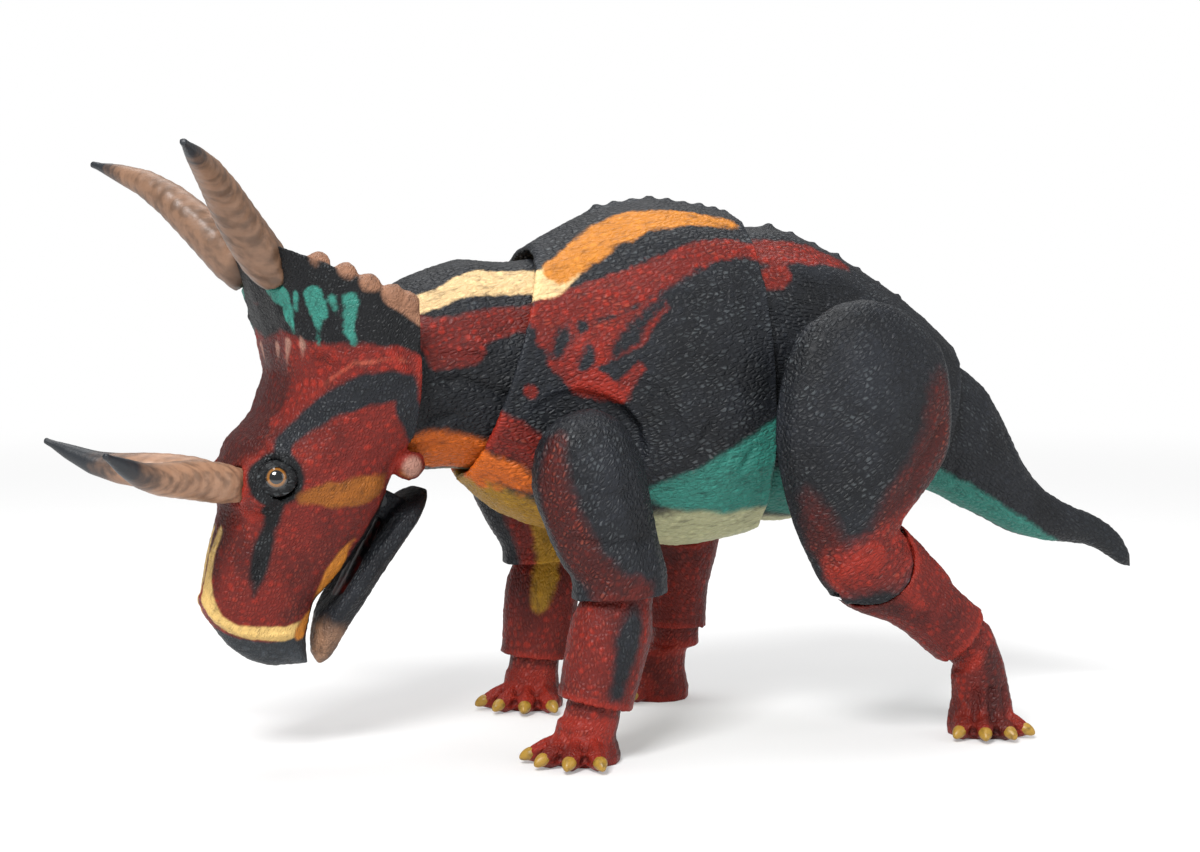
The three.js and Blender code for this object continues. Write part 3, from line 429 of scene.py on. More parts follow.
def hide_paint(name, base, layers, brush_and_highlight, wash_and_shade, grain_size=1.0, lie=0.0):
    """Satin paint over scales, with zones, a dark wash in the gaps and grooves that is also
    painted shade, and dry-brushed tops that are also painted highlights.
    """
    sizes = bpy.context.scene.figure_sculpt
    paint = new_paint(name)
    where = paint.place()
    laid = paint.moved(where, (0, math.radians(lie), 0))
    broad = paint.noise(where, BROAD, 3.0)
    ragged = paint.noise(where, RAGGED, 5.0, 0.65)
    grain = paint.noise(where, GRAIN, 3.0, 0.7)
    streak = paint.noise(paint.moved(laid, stretch=(0.3, 1.0, 1.0)), STREAK, 4.0)
    rows = paint.moved(laid, (0.3, 0.25, 0.2), (0.6, 1.0, 1.1))
    borders = paint.borders(rows, sizes.scale * grain_size * MM, 0.75)
    relief = paint.attribute("relief")
    plain = colour(base)
    shade = paint.mix(plain, dim(plain, 0.5), broad.ramp(0.42, 0.68))
    calm = 0
    dark = float(base in DARK)
    for zone, chosen, soft, rag in layers:
        inside = paint.attribute(zone) + (ragged - 0.5) * rag
        mask = inside.ramp(-soft, soft)
        tone = colour(chosen)
        varied = paint.mix(tone, dim(tone, 0.55), streak.ramp(0.48, 0.75))
        shade = paint.mix(shade, varied, mask)
        calm = (1 - mask) * calm + mask * float(chosen in CALM)
        dark = (1 - mask) * dark + mask * float(chosen in DARK)
    # Painted shade: the gaps between scales and the low parts of the relief, such as folds and the
    # grooves between toes, darken toward black, partly as the figure's dark wash.
    deep = (1 - borders.ramp(0.0, 0.1)) * (1 - calm * 0.75)
    shade = paint.mix(shade, colour("black"), deep * (wash_and_shade * 0.45))
    low = (1 - relief.ramp(0.1, 0.5)) * (1 - calm * 0.6)
    shade = paint.mix(shade, colour("black"), low * wash_and_shade)
    # Painted highlights: raised scale tops lighten toward coral or ash in patches, partly as
    # dry-brushed paint.
    patches = paint.noise(where, PATCH).ramp(0.42, 0.62)
    tops = borders.ramp(0.1, 0.34) * (patches * 0.88 + 0.12) * streak.ramp(0.42, 0.64)
    light = paint.mix(colour("coral"), colour("ash"), dark)
    shade = paint.mix(shade, light, tops * (1 - calm) * brush_and_highlight)
    rough = grain * 0.2 + 0.45 - borders.ramp(0.0, 0.3) * 0.1
    height = borders.ramp(0.0, 0.32) * 0.8 + grain * 0.2 + streak * 0.35
    return paint.finish(shade, rough, height, 0.0003 * grain_size, specular=0.28)


# Painted strokes. Each zone has a name, a colour, the softness of its edge and how ragged it
# is in millimetres, and lines of x, y, z and radius in the node's own frame.
ZONES = {
    "chest": [
        ("underside", "moss", 2.5, 5, [(-14, 0, 44, 13), (4, 0, 42, 16.5), (30, 0, 40, 19)],
         [(-8, 13, 48, 6), (4, 15, 50, 7), (16, 16, 51, 8), (30, 16, 51, 8.5)]),
        ("belly", "teal", 1.2, 4, [(-3, 22, 60, 3.5), (8, 22, 61, 6), (18, 23, 63, 9.5),
         (30, 23, 67, 12.5)]),
        ("breast_red", "scarlet", 1.2, 5, [(-44, 17, 80, 5), (-38, 20, 75, 5.5), (-30, 22, 70, 4),
         (-24, 24, 64, 3)]),
        ("breast", "ochre", 2, 6, [(-46, 0, 60, 14), (-32, 0, 50, 16), (-18, 0, 46, 14)]),
        ("breast_edge", "orange", 1.2, 5, [(-50, 6, 70, 5.5), (-44, 12, 70, 5), (-38, 15, 67, 4),
         (-31, 18, 62, 3)], [(-44, 10, 66, 2), (-43, 9, 58, 0.8)], [(-40, 13, 63, 2),
         (-39, 12, 55, 0.8)], [(-35, 14, 60, 2), (-34, 13, 53, 0.8)]),
        ("shoulder_stripe", "scarlet", 0.7, 4.6, [(-33, 20, 104, 3), (-27, 21, 106, 4.5),
         (-19, 21, 108, 4.8), (-7, 22, 112, 4.6), (4, 21, 117, 4), (14, 19, 121, 3),
         (30, 17, 121, 2.4)], [(-28, 22, 100, 4.6), (-18, 24, 98, 5.4), (-9, 24, 101, 4.2),
         (-3, 23, 107, 3)], [(-27, 22, 94, 3), (-20, 24, 89, 4), (-13, 25, 86, 2.6),
         (-8, 25, 92, 1.6)], [(-34, 23, 87, 1.6)]),
        ("spots", "charcoal", 0.9, 6, [(-28, 23, 96, 1.4), (-26, 23, 100, 1.9),
         (-25, 23, 103, 0.7)], [(-21, 24, 93, 1.7), (-20, 24, 97, 1.2)], [(-21, 23, 102, 1.1)],
         [(-14, 24, 95, 1), (-10, 24, 99, 2.2), (-5, 23, 105, 2.2), (2, 22, 111, 1.7),
         (9, 21, 115, 0.9)]),
        ("back_stripe_front", "cream", 0.6, 3.6, [(-34, 18, 111, 3.4), (-28, 17.5, 112.5, 4),
         (-23, 16, 116, 3.6)]),
        ("back_stripe", "amber", 0.7, 4, [(-25, 16, 115.5, 3.6), (-20, 15, 119, 4.6),
         (-13, 13, 124, 5), (-3, 11.5, 127, 4.2), (9, 11.5, 128, 3), (21, 11, 127, 1.8)]),
    ],
    "neck": [
        ("throat", "orange", 1.5, 4, [(-68, 10, 72, 6), (-58, 14, 73, 6.5), (-46, 12, 68, 8),
         (-30, 10, 63, 9)]),
        ("throat_cream", "moss", 2, 4, [(-60, 0, 60, 6), (-45, 0, 60, 8), (-30, 0, 56, 9)]),
        ("patch", "scarlet", 0.7, 3, [(-60, 17, 101, 4), (-55, 18, 99, 5.4), (-49, 19, 101, 4.6),
         (-40, 18, 103.5, 3.6), (-30, 18, 105, 3)], [(-56, 19, 95, 3), (-48, 20, 97, 4)]),
        ("neck_stripe", "cream", 0.5, 3.4, [(-62, 13, 107, 3), (-55, 14, 108.5, 3),
         (-50, 13, 111, 3.2), (-43, 12, 113, 4), (-34, 12, 113, 4.4), (-26, 12, 113, 4)]),
    ],
    "pelvis": [
        ("rump_red", "scarlet", 0.9, 4, [(18, 14, 122, 3), (30, 13, 120, 4.4), (42, 11, 119, 4),
         (52, 9, 116, 2)], [(22, 19, 113, 2.6), (31, 17, 114, 3.4)]),
        ("pelvis_belly", "teal", 1.5, 4, [(14, 20, 62, 9), (30, 18, 58, 8), (45, 12, 52, 6)]),
        ("pelvis_underside", "moss", 2, 4, [(10, 0, 46, 12), (40, 0, 46, 10)]),
    ],
    "tail": [
        ("tail_belly", "teal", 0.9, 3.5, [(74, 6, 58, 9), (86, 6, 55, 6.5), (98, 5, 50.5, 4.6),
         (108, 4, 46.5, 3.2), (118, 2, 42, 1.6)]),
        ("tail_tip", "tip", 4, 4, [(140, 0, 37, 20)]),
    ],
    "skull": [
        ("snout_dark", "maroon", 2.5, 5, [(-40, 2, 28, 5), (-50, 3, 26, 3.5), (-62, 3, 20, 2)],
         [(-34, 2, 30, 8), (-26, 5, 29, 9.5), (-16, 4, 29, 9), (-10, 2, 30, 6)], [(-62, 9, 2, 2),
         (-54, 12, -2, 2.4)]),
        ("frill_back", "black", 1, 2, [(-14, 4, 15, 7), (-6, 5, 18, 8), (0, 6, 27, 6)],
         [(-10, 15, 11, 6), (-2, 17, 16, 6), (3, 18, 26, 5)], [(-8, 19, 10, 5), (0, 21, 17, 4.5),
         (5, 23, 25, 3.5)]),
        ("frill_black", "black", 0.8, 3.4, [(12, 0, 46, 12.5), (12, 14, 43, 12.2),
         (13, 26, 32, 10.5), (14, 30, 18, 9), (15, 30, 6, 8)], [(-3, 0, 37, 4), (1, 10, 38, 5),
         (1, 17, 34, 5), (1, 22, 30, 5), (4, 26, 25, 5)], [(6, 27, 22, 5), (6.5, 28.5, 14, 4.5),
         (7, 28.5, 8, 4)]),
        ("brow_band", "scarlet", 0.7, 2.6, [(-22, 12, 26, 2.4), (-14, 17, 24, 2.8),
         (-8, 22, 23, 3), (-3, 26, 19, 3), (1, 28, 12, 2.8), (2, 28, 5, 2.2)]),
        ("brow_lines", "coral", 0.7, 2.6, [(-27, 12, 27, 0), (-18, 17, 24.5, 0.3),
         (-10, 21, 22.5, 0.5), (-4, 25, 19.5, 0.4), (1, 28, 12, 0.2), (2, 28.5, 6, 0)]),
        ("eye_stripe", "charcoal", 0.7, 2.4, [(-30, 17, 23, 2), (-26, 16, 24, 2.2),
         (-20, 18, 22, 2.6), (-14, 22, 19, 3.2), (-8, 25, 14, 3.8), (-5, 27, 9, 4)],
         [(-3, 27, 7, 2.8), (-7, 26, 4, 3), (-10, 23, -1, 3), (-13, 19, -5, 2)]),
        ("eye_ring", "black", 0.7, 1.4, [(-35, 17, 22, 6.6)], [(-39, 17, 20, 3),
         (-46, 14, 17.5, 2.6), (-52, 11, 15.5, 2.3), (-57, 10, 14, 1.8), (-61, 9.5, 12.5, 0.8)]),
        ("cheek", "mustard", 0.8, 3.2, [(-36, 18, 14, 2), (-33, 19, 9, 3.2), (-29, 19, 3, 3.6),
         (-26, 18, -2, 3.2), (-22, 20, -6, 2.8), (-19, 21, -7, 2)]),
        ("teal_marks", "teal", 0.5, 3.4, [(5, 11, 41, 2.6), (3, 15, 39, 2.4), (0, 16, 36, 1.6),
         (-3, 15, 33, 0.6)], [(5, 19, 37, 1), (2, 18, 36, 1.3)], [(6, 22, 34, 2.6),
         (3, 23, 32, 2.6), (1, 22, 31, 1.4), (-3, 21, 28, 0.6)], [(7, 25, 31, 1.2),
         (4, 26, 29, 1)], [(8, 27, 27.5, 1.8), (5, 27, 25.5, 2), (2, 26, 24, 1.2),
         (0, 26, 22, 0.5)]),
        ("knobs", "knob", 0.5, 1, [(14, 0, 49.5, 3.2)], [(14.5, 22, 36.6, 3.2)],
         [(14.5, 25, 30.5, 3.2)], [(14.5, 27, 25, 3.2)], [(14.5, 28, 19, 3.6), (14.5, 28, 14, 3.8),
         (13, 29, 10, 3)]),
        ("streaks", "blush", 0.5, 1, [(-6, 6, 32, 1.1), (-12, 4, 30, 0.5)], [(-5, 12, 32, 1.2),
         (-12, 9, 29, 0.6)], [(-4, 17, 30.5, 1.2), (-12, 14, 27.5, 0.5)]),
        ("cheek_knob", "blush", 0.9, 1.2, [(-19, 21, -6.5, 3.6)]),
        ("beak", "slate", 0.5, 1.2, [(-77, 0, 15, 6), (-78, 3, 8, 7.5), (-76, 5, 0, 8),
         (-71, 6, -6, 7)]),
        ("palate", "black", 1, 1, [(-58, 0, -7, 7), (-46, 0, -8, 10), (-34, 0, -9, 12)]),
        ("rim", "bone", 0.4, 0.9, [(-45, 1, 30, 1.4), (-51, 3, 26, 2), (-56, 2, 25, 2),
         (-61, 2, 23.5, 2), (-66, 3, 20.5, 2), (-70, 5, 17, 2), (-70.5, 7, 12, 1.9),
         (-68.5, 8, 7, 1.8), (-66, 8, 1, 1.9), (-63, 8, -2.5, 2)]),
        ("mouth_corner", "amber", 0.5, 1.2, [(-64, 7, -3, 2.2), (-58, 7, -5, 2.6),
         (-53, 8, -4.5, 3), (-48, 10, -3.5, 3), (-44, 12, -3, 2.2), (-40, 13, -3.5, 1.2)]),
    ],
    "lower_jaw": [
        ("jaw_tip", "tan", 2, 2.5, [(-66, 0, -8, 6), (-61, 3, -11, 3.5)]),
    ],
    "upper_arm": [
        ("arm_front", "maroon", 1.8, 5, [(-8, 10, 10, 2), (-11, 10, 0, 3.6), (-12, 10, -10, 5),
         (-11, 12, -20, 5.6), (-6, 14, -28, 4.6), (3, 14, -31, 2.4)]),
        ("arm_side", "brick", 1.6, 4, [(-6, -7, -4, 4), (-5, -8, -18, 8), (-4, -8, -32, 9)]),
        ("arm_inner", "ochre", 1, 2.5, [(-3, -6.5, -20, 3), (-3, -6.5, -27, 4.4),
         (-3, -6.5, -35, 4.6)]),
    ],
    "forearm": [
        ("arm_band", "charcoal", 1.4, 3.5, [(3, 9, 6, 3.6), (2.5, 10, -4, 4.2), (2.5, 9, -14, 3.8),
         (2.5, 9, -26, 2.6)]),
        ("forearm_inner", "ochre", 1, 2.5, [(-2, -9, 3, 4.4), (-2, -9, -7, 4.6),
         (-3, -9.5, -15, 3.4)]),
        ("arm_back", "maroon", 2, 3.5, [(8, 0, 4, 3.5), (8, 0, -12, 3.5), (6, 0, -26, 3)]),
    ],
    "thigh": [
        ("thigh_rear", "maroon", 2.4, 6, [(18, 12, 4, 4), (17, 12, -10, 5.5), (12, 12, -22, 7),
         (6, 12, -32, 7)], [(-17, 12, -26, 3.6), (-13, 12, -36, 6)]),
        ("thigh_knee", "brick", 2.2, 5, [(12, 12, -28, 4), (4, 12, -38, 7.5), (-6, 12, -42, 6)]),
    ],
    "shin": [
        ("shin_shadow", "maroon", 2, 4, [(-9, 8, 4, 3), (-8, 8, -10, 3), (-5, 8, -22, 2.4)],
         [(8, 0, -4, 2.5), (7, 0, -18, 2.5)]),
    ],
    "hand": [
        ("hand_shadow", "maroon", 1.6, 3, [(5, 0, 18, 4), (6, 0, 9, 4), (7, 0, 2, 4)]),
    ],
    "foot": [
        ("foot_shadow", "maroon", 1.6, 3, [(0, 8, 20, 3.5), (0, 9, 10, 3.5), (0, 9, 2, 3.5)]),
    ],
}

# Sculpted strokes: width and height in millimetres, then lines as above without a radius.
# A height below zero is a groove.
STROKES = {
    "chest": [
        (1.1, -0.7, [(-24, 26, 88), (-12, 27, 90), (-2, 26, 86), (4, 25, 76)]),
        (0.9, -0.5, [(-2, 24, 62), (6, 25, 68), (10, 26, 78)], [(8, 23, 60), (15, 25, 70)],
         [(16, 23, 60), (22, 25, 72)], [(-44, 15, 74), (-34, 19, 68), (-26, 21, 60)]),
        (4.5, 0.9, [(-20, 24, 96), (-16, 25, 88)]),
    ],
    "neck": [
        (1.2, -1, [(-62, 19, 88), (-50, 20, 90), (-40, 20, 86), (-30, 20, 84)], [(-62, 18, 80),
         (-52, 19, 81), (-42, 19, 77), (-30, 19, 74)], [(-64, 15, 73), (-54, 16, 74),
         (-42, 16, 69), (-30, 16, 66)]),
        (0.9, -0.6, [(-64, 16, 96), (-54, 20, 96), (-42, 20, 95)], [(-58, 20, 92), (-48, 20, 86),
         (-40, 20, 80)]),
    ],
    "pelvis": [
        (1.2, -0.8, [(20, 24, 104), (30, 23, 112), (42, 19, 112)], [(18, 25, 94), (26, 25, 102),
         (32, 24, 108)], [(60, 18, 104), (70, 15, 96), (76, 13, 86)]),
        (3.5, 0.8, [(36, 16, 115), (48, 14, 113)]),
    ],
    "tail": [
        (1, -0.5, [(78, 12, 84), (84, 12, 74), (84, 9, 62)], [(90, 10, 80), (94, 10, 70)],
         [(100, 8, 72), (103, 8, 62)]),
    ],
    "skull": [
        (1, -0.9, [(-39, 18, 19), (-46, 15, 17), (-54, 11, 15), (-58, 10, 14)]),
        (0.9, -0.7, [(-28, 18, 26), (-22, 19, 22), (-14, 23, 17)], [(-40, 17, 12), (-36, 20, 4),
         (-30, 20, -4)], [(-46, 14, 10), (-50, 13, 3), (-48, 13, -4)], [(-24, 22, 10),
         (-30, 21, 12), (-32, 20, 16)]),
        (0.7, -0.55, [(-18, 5, 31), (-17, 10, 30)], [(-22, 4, 31), (-21, 9, 30)], [(-26, 3, 31),
         (-25, 8, 30)], [(-44, 6, 27), (-42, 10, 25)], [(-42, 19, 16), (-40, 20, 12)],
         [(-31, 20, 15), (-30, 21, 9)]),
        (1.2, 0.9, [(-27, 13, 28), (-29, 17, 25), (-31, 19, 20)], [(-41, 16, 24), (-42, 18, 19)]),
        (1, 0.7, [(-57, 0, 27.5), (-63, 1, 24.5), (-68.5, 3, 19.5), (-70, 6, 13), (-69, 8, 6),
         (-65, 8, -1)]),
        (1.6, 0.8, [(2, 28, 14), (-1, 28, 9)], [(0, 14, 35), (-4, 20, 29), (-5, 25, 22)]),
        (3, 0.8, [(-33, 19, 5), (-27, 18, 0)]),
        (1.3, 0.9, [(-65, 8.5, -6), (-58, 10, -5), (-50, 12, -6), (-42, 15, -8), (-34, 18, -8)]),
    ],
    "lower_jaw": [
        (0.8, -0.5, [(-30, 9, -12), (-44, 10, -11), (-56, 9, -11)]),
    ],
    "upper_arm": [
        (1.2, -0.7, [(-10, 13, 2), (-2, 15, -6), (8, 13, -8)], [(-12, 11, -14), (-4, 14, -18),
         (6, 12, -20)]),
        (4, 0.8, [(2, 14, 2), (1, 14, -10)]),
    ],
    "forearm": [
        (1, -0.6, [(-8, 8, -2), (0, 10, -6), (8, 8, -4)], [(-7, 8, -12), (2, 10, -15)],
         [(-6, 8, -22), (0, 9, -24), (7, 7, -23)]),
        (2.6, 0.6, [(3, 10, 2), (3, 9, -14)]),
    ],
    "thigh": [
        (1.5, -0.8, [(-20, 12, -12), (-10, 15, -22), (2, 15, -26), (12, 13, -22)], [(-18, 12, -24),
         (-8, 15, -32), (4, 14, -35)], [(18, 10, -6), (12, 13, -16), (8, 14, -26)]),
        (7, 1, [(-4, 15, 8), (0, 15, -6)]),
        (3.5, 0.9, [(0, 13, -36), (-6, 12, -42)]),
        (2, 1, [(-4.5, 4, -49.3), (-4.5, 12, -49)]),
    ],
    "shin": [
        (1, -0.7, [(-10, 8, -2), (0, 9, -6), (9, 7, -4)], [(-8, 8, -12), (4, 9, -14)],
         [(-7, 7, -20), (0, 9, -23), (7, 7, -21)]),
        (1.2, 0.35, [(-11.6, 4, -7), (-11.4, 8, -8)]),
        (2.4, 0.8, [(8, 3, -18), (8, 3, -22)], [(-2, 9, -8), (-2, 8, -18)], [(-10, 0, 0),
         (-10, 8, -1)]),
    ],
    "hand": [
        (0.8, -0.6, [(-6, 6, 16), (-3, 9, 13), (3, 9, 12)], [(-7, 5, 11), (-3, 9, 8), (4, 9, 8)],
         [(-8, -2, 14), (-7, 6, 12)]),
    ],
    "foot": [
        (0.8, -0.6, [(-6, 7, 18), (-1, 9, 15), (4, 8, 14)], [(-7, 6, 11), (-1, 9, 9), (6, 8, 9)],
         [(-7, 5, 24), (0, 8, 22)]),
    ],
}

# Each kind of skin: base colour, strength of the dry brush and painted highlights, strength of
# the dark wash and painted shade in gaps and grooves, size of the fine scales, slope of their
# rows in degrees, distance between points in millimetres (None for the user's own) and rounds
# of smoothing.
SKINS = {
    "chest": ("charcoal", 0.34, 0.5, 0.85, 12, 0.62, 60),
    "pelvis": ("charcoal", 0.3, 0.5, 0.85, -12, None, 60),
    "neck": ("charcoal", 0.24, 0.6, 0.85, 12, None, 60),
    "tail": ("charcoal", 0.22, 0.5, 0.8, -35, 0.42, 60),
    "skull": ("brick", 0.22, 0.45, 0.6, 63, 0.5, 25),
    "lower_jaw": ("charcoal", 0.2, 0.3, 0.6, 63, 0.4, 20),
    "upper_arm": ("charcoal", 0.3, 0.5, 0.8, 60, None, 30),
    "forearm": ("brick", 0.2, 0.5, 0.7, 90, None, 30),
    "thigh": ("charcoal", 0.34, 0.5, 0.85, 30, None, 30),
    "shin": ("brick", 0.2, 0.5, 0.7, -50, None, 30),
    "hand": ("brick", 0.4, 0.5, 0.7, 60, 0.42, 12),
    "foot": ("brick", 0.34, 0.5, 0.7, 60, 0.42, 12),
}
HORN_VOXEL, HORN_EVENNESS = 0.4, 40
# Edges sharper than SHARP stay crisp: a skin is firm up to FIRM millimetres from them and soft
# SOFTEN millimetres further on. EDGE_STEP lies between the points that stand for an edge.
SHARP = math.radians(46)
EDGE_STEP, FIRM, SOFTEN = 0.8, 0.5, 2.0
LUMP_SIZE = 7
# How far the sides of the jaw rise, at distances in front of the head's origin.
JAW_LIFT = (26, 31, 37, 44, 50, 56, 62), (0, 1.1, 1.6, 1.9, 1.9, 1.5, 0.5)
# The groove between two toes: its width and height, and its stops as shares of the toes' reach
# and heights above the sole.
TOE_GROOVE = (0.9, -0.9)
GROOVE_STOPS = ((0.85, 0.5), (0.62, 3.5), (0.56, 8), (0.5, 12))


def slot_of(node):
    """The record's material slot of a node."""
    return next(part["material_slot"] for part in frame["record"]["subparts"]
                if part["node"] == node)


def body_of(node):
    """The name of the body that a node moves with."""
    bodies = frame["record"]["behaviour"]["bodies"]
    return next(body for body, members in bodies.items() if node in members)


def dress(piece, node, material):
    """Puts a finished piece in the place of a node."""
    piece.data.materials.clear()
    piece.data.materials.append(material)
    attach(piece, body_of(node))
    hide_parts(node)


def crisp_points(piece):
    """Points along a mesh's sharp edges, as a search tree."""
    shape = bmesh.new()
    shape.from_mesh(piece.data)
    found = []
    for edge in shape.edges:
        if len(edge.link_faces) == 2 and edge.calc_face_angle(0) > SHARP:
            start, end = (v.co.copy() for v in edge.verts)
            steps = max(1, int((end - start).length / (EDGE_STEP * MM)))
            found += [start.lerp(end, i / steps) for i in range(steps + 1)]
    shape.free()
    tree = KDTree(len(found))
    for i, point in enumerate(found):
        tree.insert(point, i)
    tree.balance()
    return tree, len(found)


def skin(node, name, voxel, evenness):
    """A fine, evenly meshed copy of a node with its flat facets smoothed away."""
    piece = add_object(name, frame["nodes"][node].data.copy())
    choose(piece)
    bpy.ops.object.mode_set(mode="EDIT")
    bpy.ops.mesh.select_all(action="SELECT")
    bpy.ops.mesh.remove_doubles(threshold=TINY)
    bpy.ops.object.mode_set(mode="OBJECT")
    crisp, count = crisp_points(piece)
    apply_modifier(piece, "REMESH", mode="VOXEL", voxel_size=voxel * MM, adaptivity=0)
    points = points_of(piece)
    weights = np.ones(len(points))
    if count:
        apart = np.array([crisp.find(p)[2] for p in points]) / MM
        weights = np.clip((apart - FIRM) / SOFTEN, 0, 1)
    write_soft(piece, weights)
    apply_modifier(piece, "SMOOTH", factor=0.5, iterations=4)
    apply_modifier(piece, "SMOOTH", factor=0.5, iterations=evenness, vertex_group="soft")
    return piece


def displace(piece, kind, name, size, height, **settings):
    """Raises the soft part of a piece by a procedural pattern, with sizes in millimetres."""
    pattern = bpy.data.textures.new(name, kind)
    pattern.noise_scale = size * MM
    for key, value in settings.items():
        setattr(pattern, key, value)
    apply_modifier(piece, "DISPLACE", texture=pattern, strength=height * MM,
                   vertex_group="soft", texture_coords="LOCAL")


def shade_piece(piece):
    """Shades a sculpted piece smoothly and drops the weights it no longer needs."""
    choose(piece)
    bpy.ops.object.shade_smooth()
    piece.vertex_groups.clear()


def toe_grooves(node):
    """Grooves between the toes of a paw, as lines in its own frame."""
    span, aim = PAWS[node]
    side = -1 if node.endswith("_left") else 1
    lines = []
    for fan in GROOVE_FAN:
        turn = math.radians(fan + aim)
        out = (-math.cos(turn), -math.sin(turn) * side)
        lines.append([(out[0] * part * span, out[1] * part * span, high)
                      for part, high in GROOVE_STOPS])
    return lines


def jaw_lift(local):
    """How far the sides of the jaw rise towards the cheeks in front of the hinge."""
    height = np.interp(-local[:, 0], *JAW_LIFT)
    height *= np.clip((local[:, 1] - 3.5) / 3.5, 0, 1)
    height *= np.clip((local[:, 2] + 15.5) / 2.5, 0, 1)
    return np.outer(height * MM, axes(*FACE)[1][2])


def sculpt(piece, kind, node):
    """Raises folds, soft lumps and pebbled scales on a skin and stores how high they stand."""
    sizes = bpy.context.scene.figure_sculpt
    points = points_of(piece)
    normals = normals_of(piece)
    local = local_points(node, points)
    rise = np.zeros(len(points))
    strokes = list(STROKES[kind])
    if node in PAWS:
        strokes.append((*TOE_GROOVE, *toe_grooves(node)))
    for width, height, *lines in strokes:
        for line in lines:
            apart = reach(local, [(*stop, 0) for stop in line])[1]
            rise += height * np.exp(-(apart / width) ** 2)
    points = points + normals * (rise * MM)[:, None]
    if kind == "lower_jaw":
        points = points + jaw_lift(local)
    put_points(piece, points)
    displace(piece, "CLOUDS", f"{node}_lumps", LUMP_SIZE, sizes.swell, noise_depth=2)
    before = points_of(piece)
    normals = normals_of(piece)
    displace(piece, "VORONOI", f"{node}_pebbles", sizes.pebble, sizes.pebble_height,
             weight_1=-1.0, weight_2=1.0, noise_intensity=1.6)
    stood = ((points_of(piece) - before) * normals).sum(axis=1) / (sizes.pebble_height * MM)
    write_attribute(piece, "relief", np.clip(stood + 0.5 + rise * 0.35, 0, 1))
    shade_piece(piece)


def make_hide(node):
    """One skin, sculpted and painted, in the place of its node."""
    kind = node.replace("_left", "").replace("_right", "")
    base, *look, voxel, evenness = SKINS[kind]
    voxel = voxel or bpy.context.scene.figure_sculpt.voxel
    piece = skin(node, f"{node}_hide", voxel, evenness)
    sculpt(piece, kind, node)
    local = local_points(node, points_of(piece))
    layers = []
    for zone, chosen, soft, rag, *lines in ZONES[kind]:
        write_attribute(piece, zone, np.max([reach(local, line)[0] for line in lines], axis=0))
        layers.append((zone, chosen, soft, rag))
    dress(piece, node, hide_paint(f"{node}_paint", base, layers, *look))


def horn_paint(name, soft, depth):
    """Satin horn, pale at the base and dark at the tip, streaked along its length, with painted
    shade darkening the root of a frill horn where it meets the frill.
    """
    paint = new_paint(name)
    where = paint.place()
    streaks = paint.noise(paint.moved(where, stretch=(0.25, 1.0, 0.5)), HORN_STREAK, 3.0)
    cloud = paint.noise(where, HORN_CLOUD, 3.0)
    grain = paint.noise(where, FINE_GRAIN)
    pale = dim(colour("tan"), depth)
    shade = paint.mix(pale, dim(pale, 0.55), streaks.ramp(0.4, 0.66))
    shade = paint.mix(shade, dim(pale, 1.3), cloud.ramp(0.5, 0.7) * 0.5)
    # Painted shade: a frill horn darkens toward its root, where it meets the frill.
    shade = paint.mix(shade, dim(pale, 0.3), paint.attribute("root").ramp(0, 1))
    far = paint.attribute("tip") + (streaks - 0.5) * 9
    shade = paint.mix(shade, colour("tip"), far.ramp(-soft, soft))
    rough = grain * 0.15 + 0.36
    return paint.finish(shade, rough, streaks * 0.6 + grain * 0.2, 0.00025)


# Each horn: about where its tip is, how long its dark end is, how soft that end's edge is, how
# pale the horn is and how much of its root is rounded off; a rounded root also gets painted shade.
HORNS = {
    "brow_horn_left": ((-135.1, -39.6, 76), 15, 8, 1.0, 0),
    "brow_horn_right": ((-143.6, 21.4, 75.8), 20, 8, 1.0, 0),
    "frill_horn_left": ((-120, -48.1, 141.8), 9, 5, 0.64, 4),
    "frill_horn_right": ((-131.9, 36, 140.5), 9, 5, 0.64, 4),
}


def round_root(points, apart, size):
    """Draws the last part of a horn in to a dome."""
    share = (apart - apart.max() + size) / size
    ring = points[(share > -0.3) & (share < 0)].mean(axis=0)
    foot = points[share > 0.85].mean(axis=0)
    along = (foot - ring) / np.linalg.norm(foot - ring)
    centre = ring + ((points - ring) @ along)[:, None] * along
    keep = np.sqrt(np.clip(1 - np.clip(share, 0, 0.97) ** 2, 0, 1))
    return centre + (points - centre) * keep[:, None]


def make_horn(node):
    """One horn with fine rings at its root."""
    end, dark, soft, depth, dome = HORNS[node]
    piece = skin(node, f"{node}_sheath", HORN_VOXEL, HORN_EVENNESS)
    points = points_of(piece)
    apart = np.linalg.norm(points / MM - end, axis=1)
    tip = points[apart.argmin()] / MM
    apart = np.linalg.norm(points / MM - tip, axis=1)
    rings = 0.05 * np.sin(apart * 2.1) * np.clip((apart - dark) / 12, 0, 1)
    points = points + normals_of(piece) * (rings * MM)[:, None]
    if dome:
        points = round_root(points, apart, dome)
    put_points(piece, points)
    write_attribute(piece, "tip", dark - apart)
    # The root attribute carries the painted shade at a frill horn's root.
    write_attribute(piece, "root", (apart - apart.max() + 6) / 5 if dome else apart * 0)
    shade_piece(piece)
    dress(piece, node, horn_paint(f"{node}_paint", soft, depth))


def settle(piece):
    """Puts a piece's place into its mesh."""
    choose(piece)
    bpy.ops.object.transform_apply()


def gaze(side):
    """Centre and outward direction of an eye."""
    centre, way = EYES[side]
    return Vector(centre) * MM, Vector(axes(*FACE)[1].T @ way).normalized()


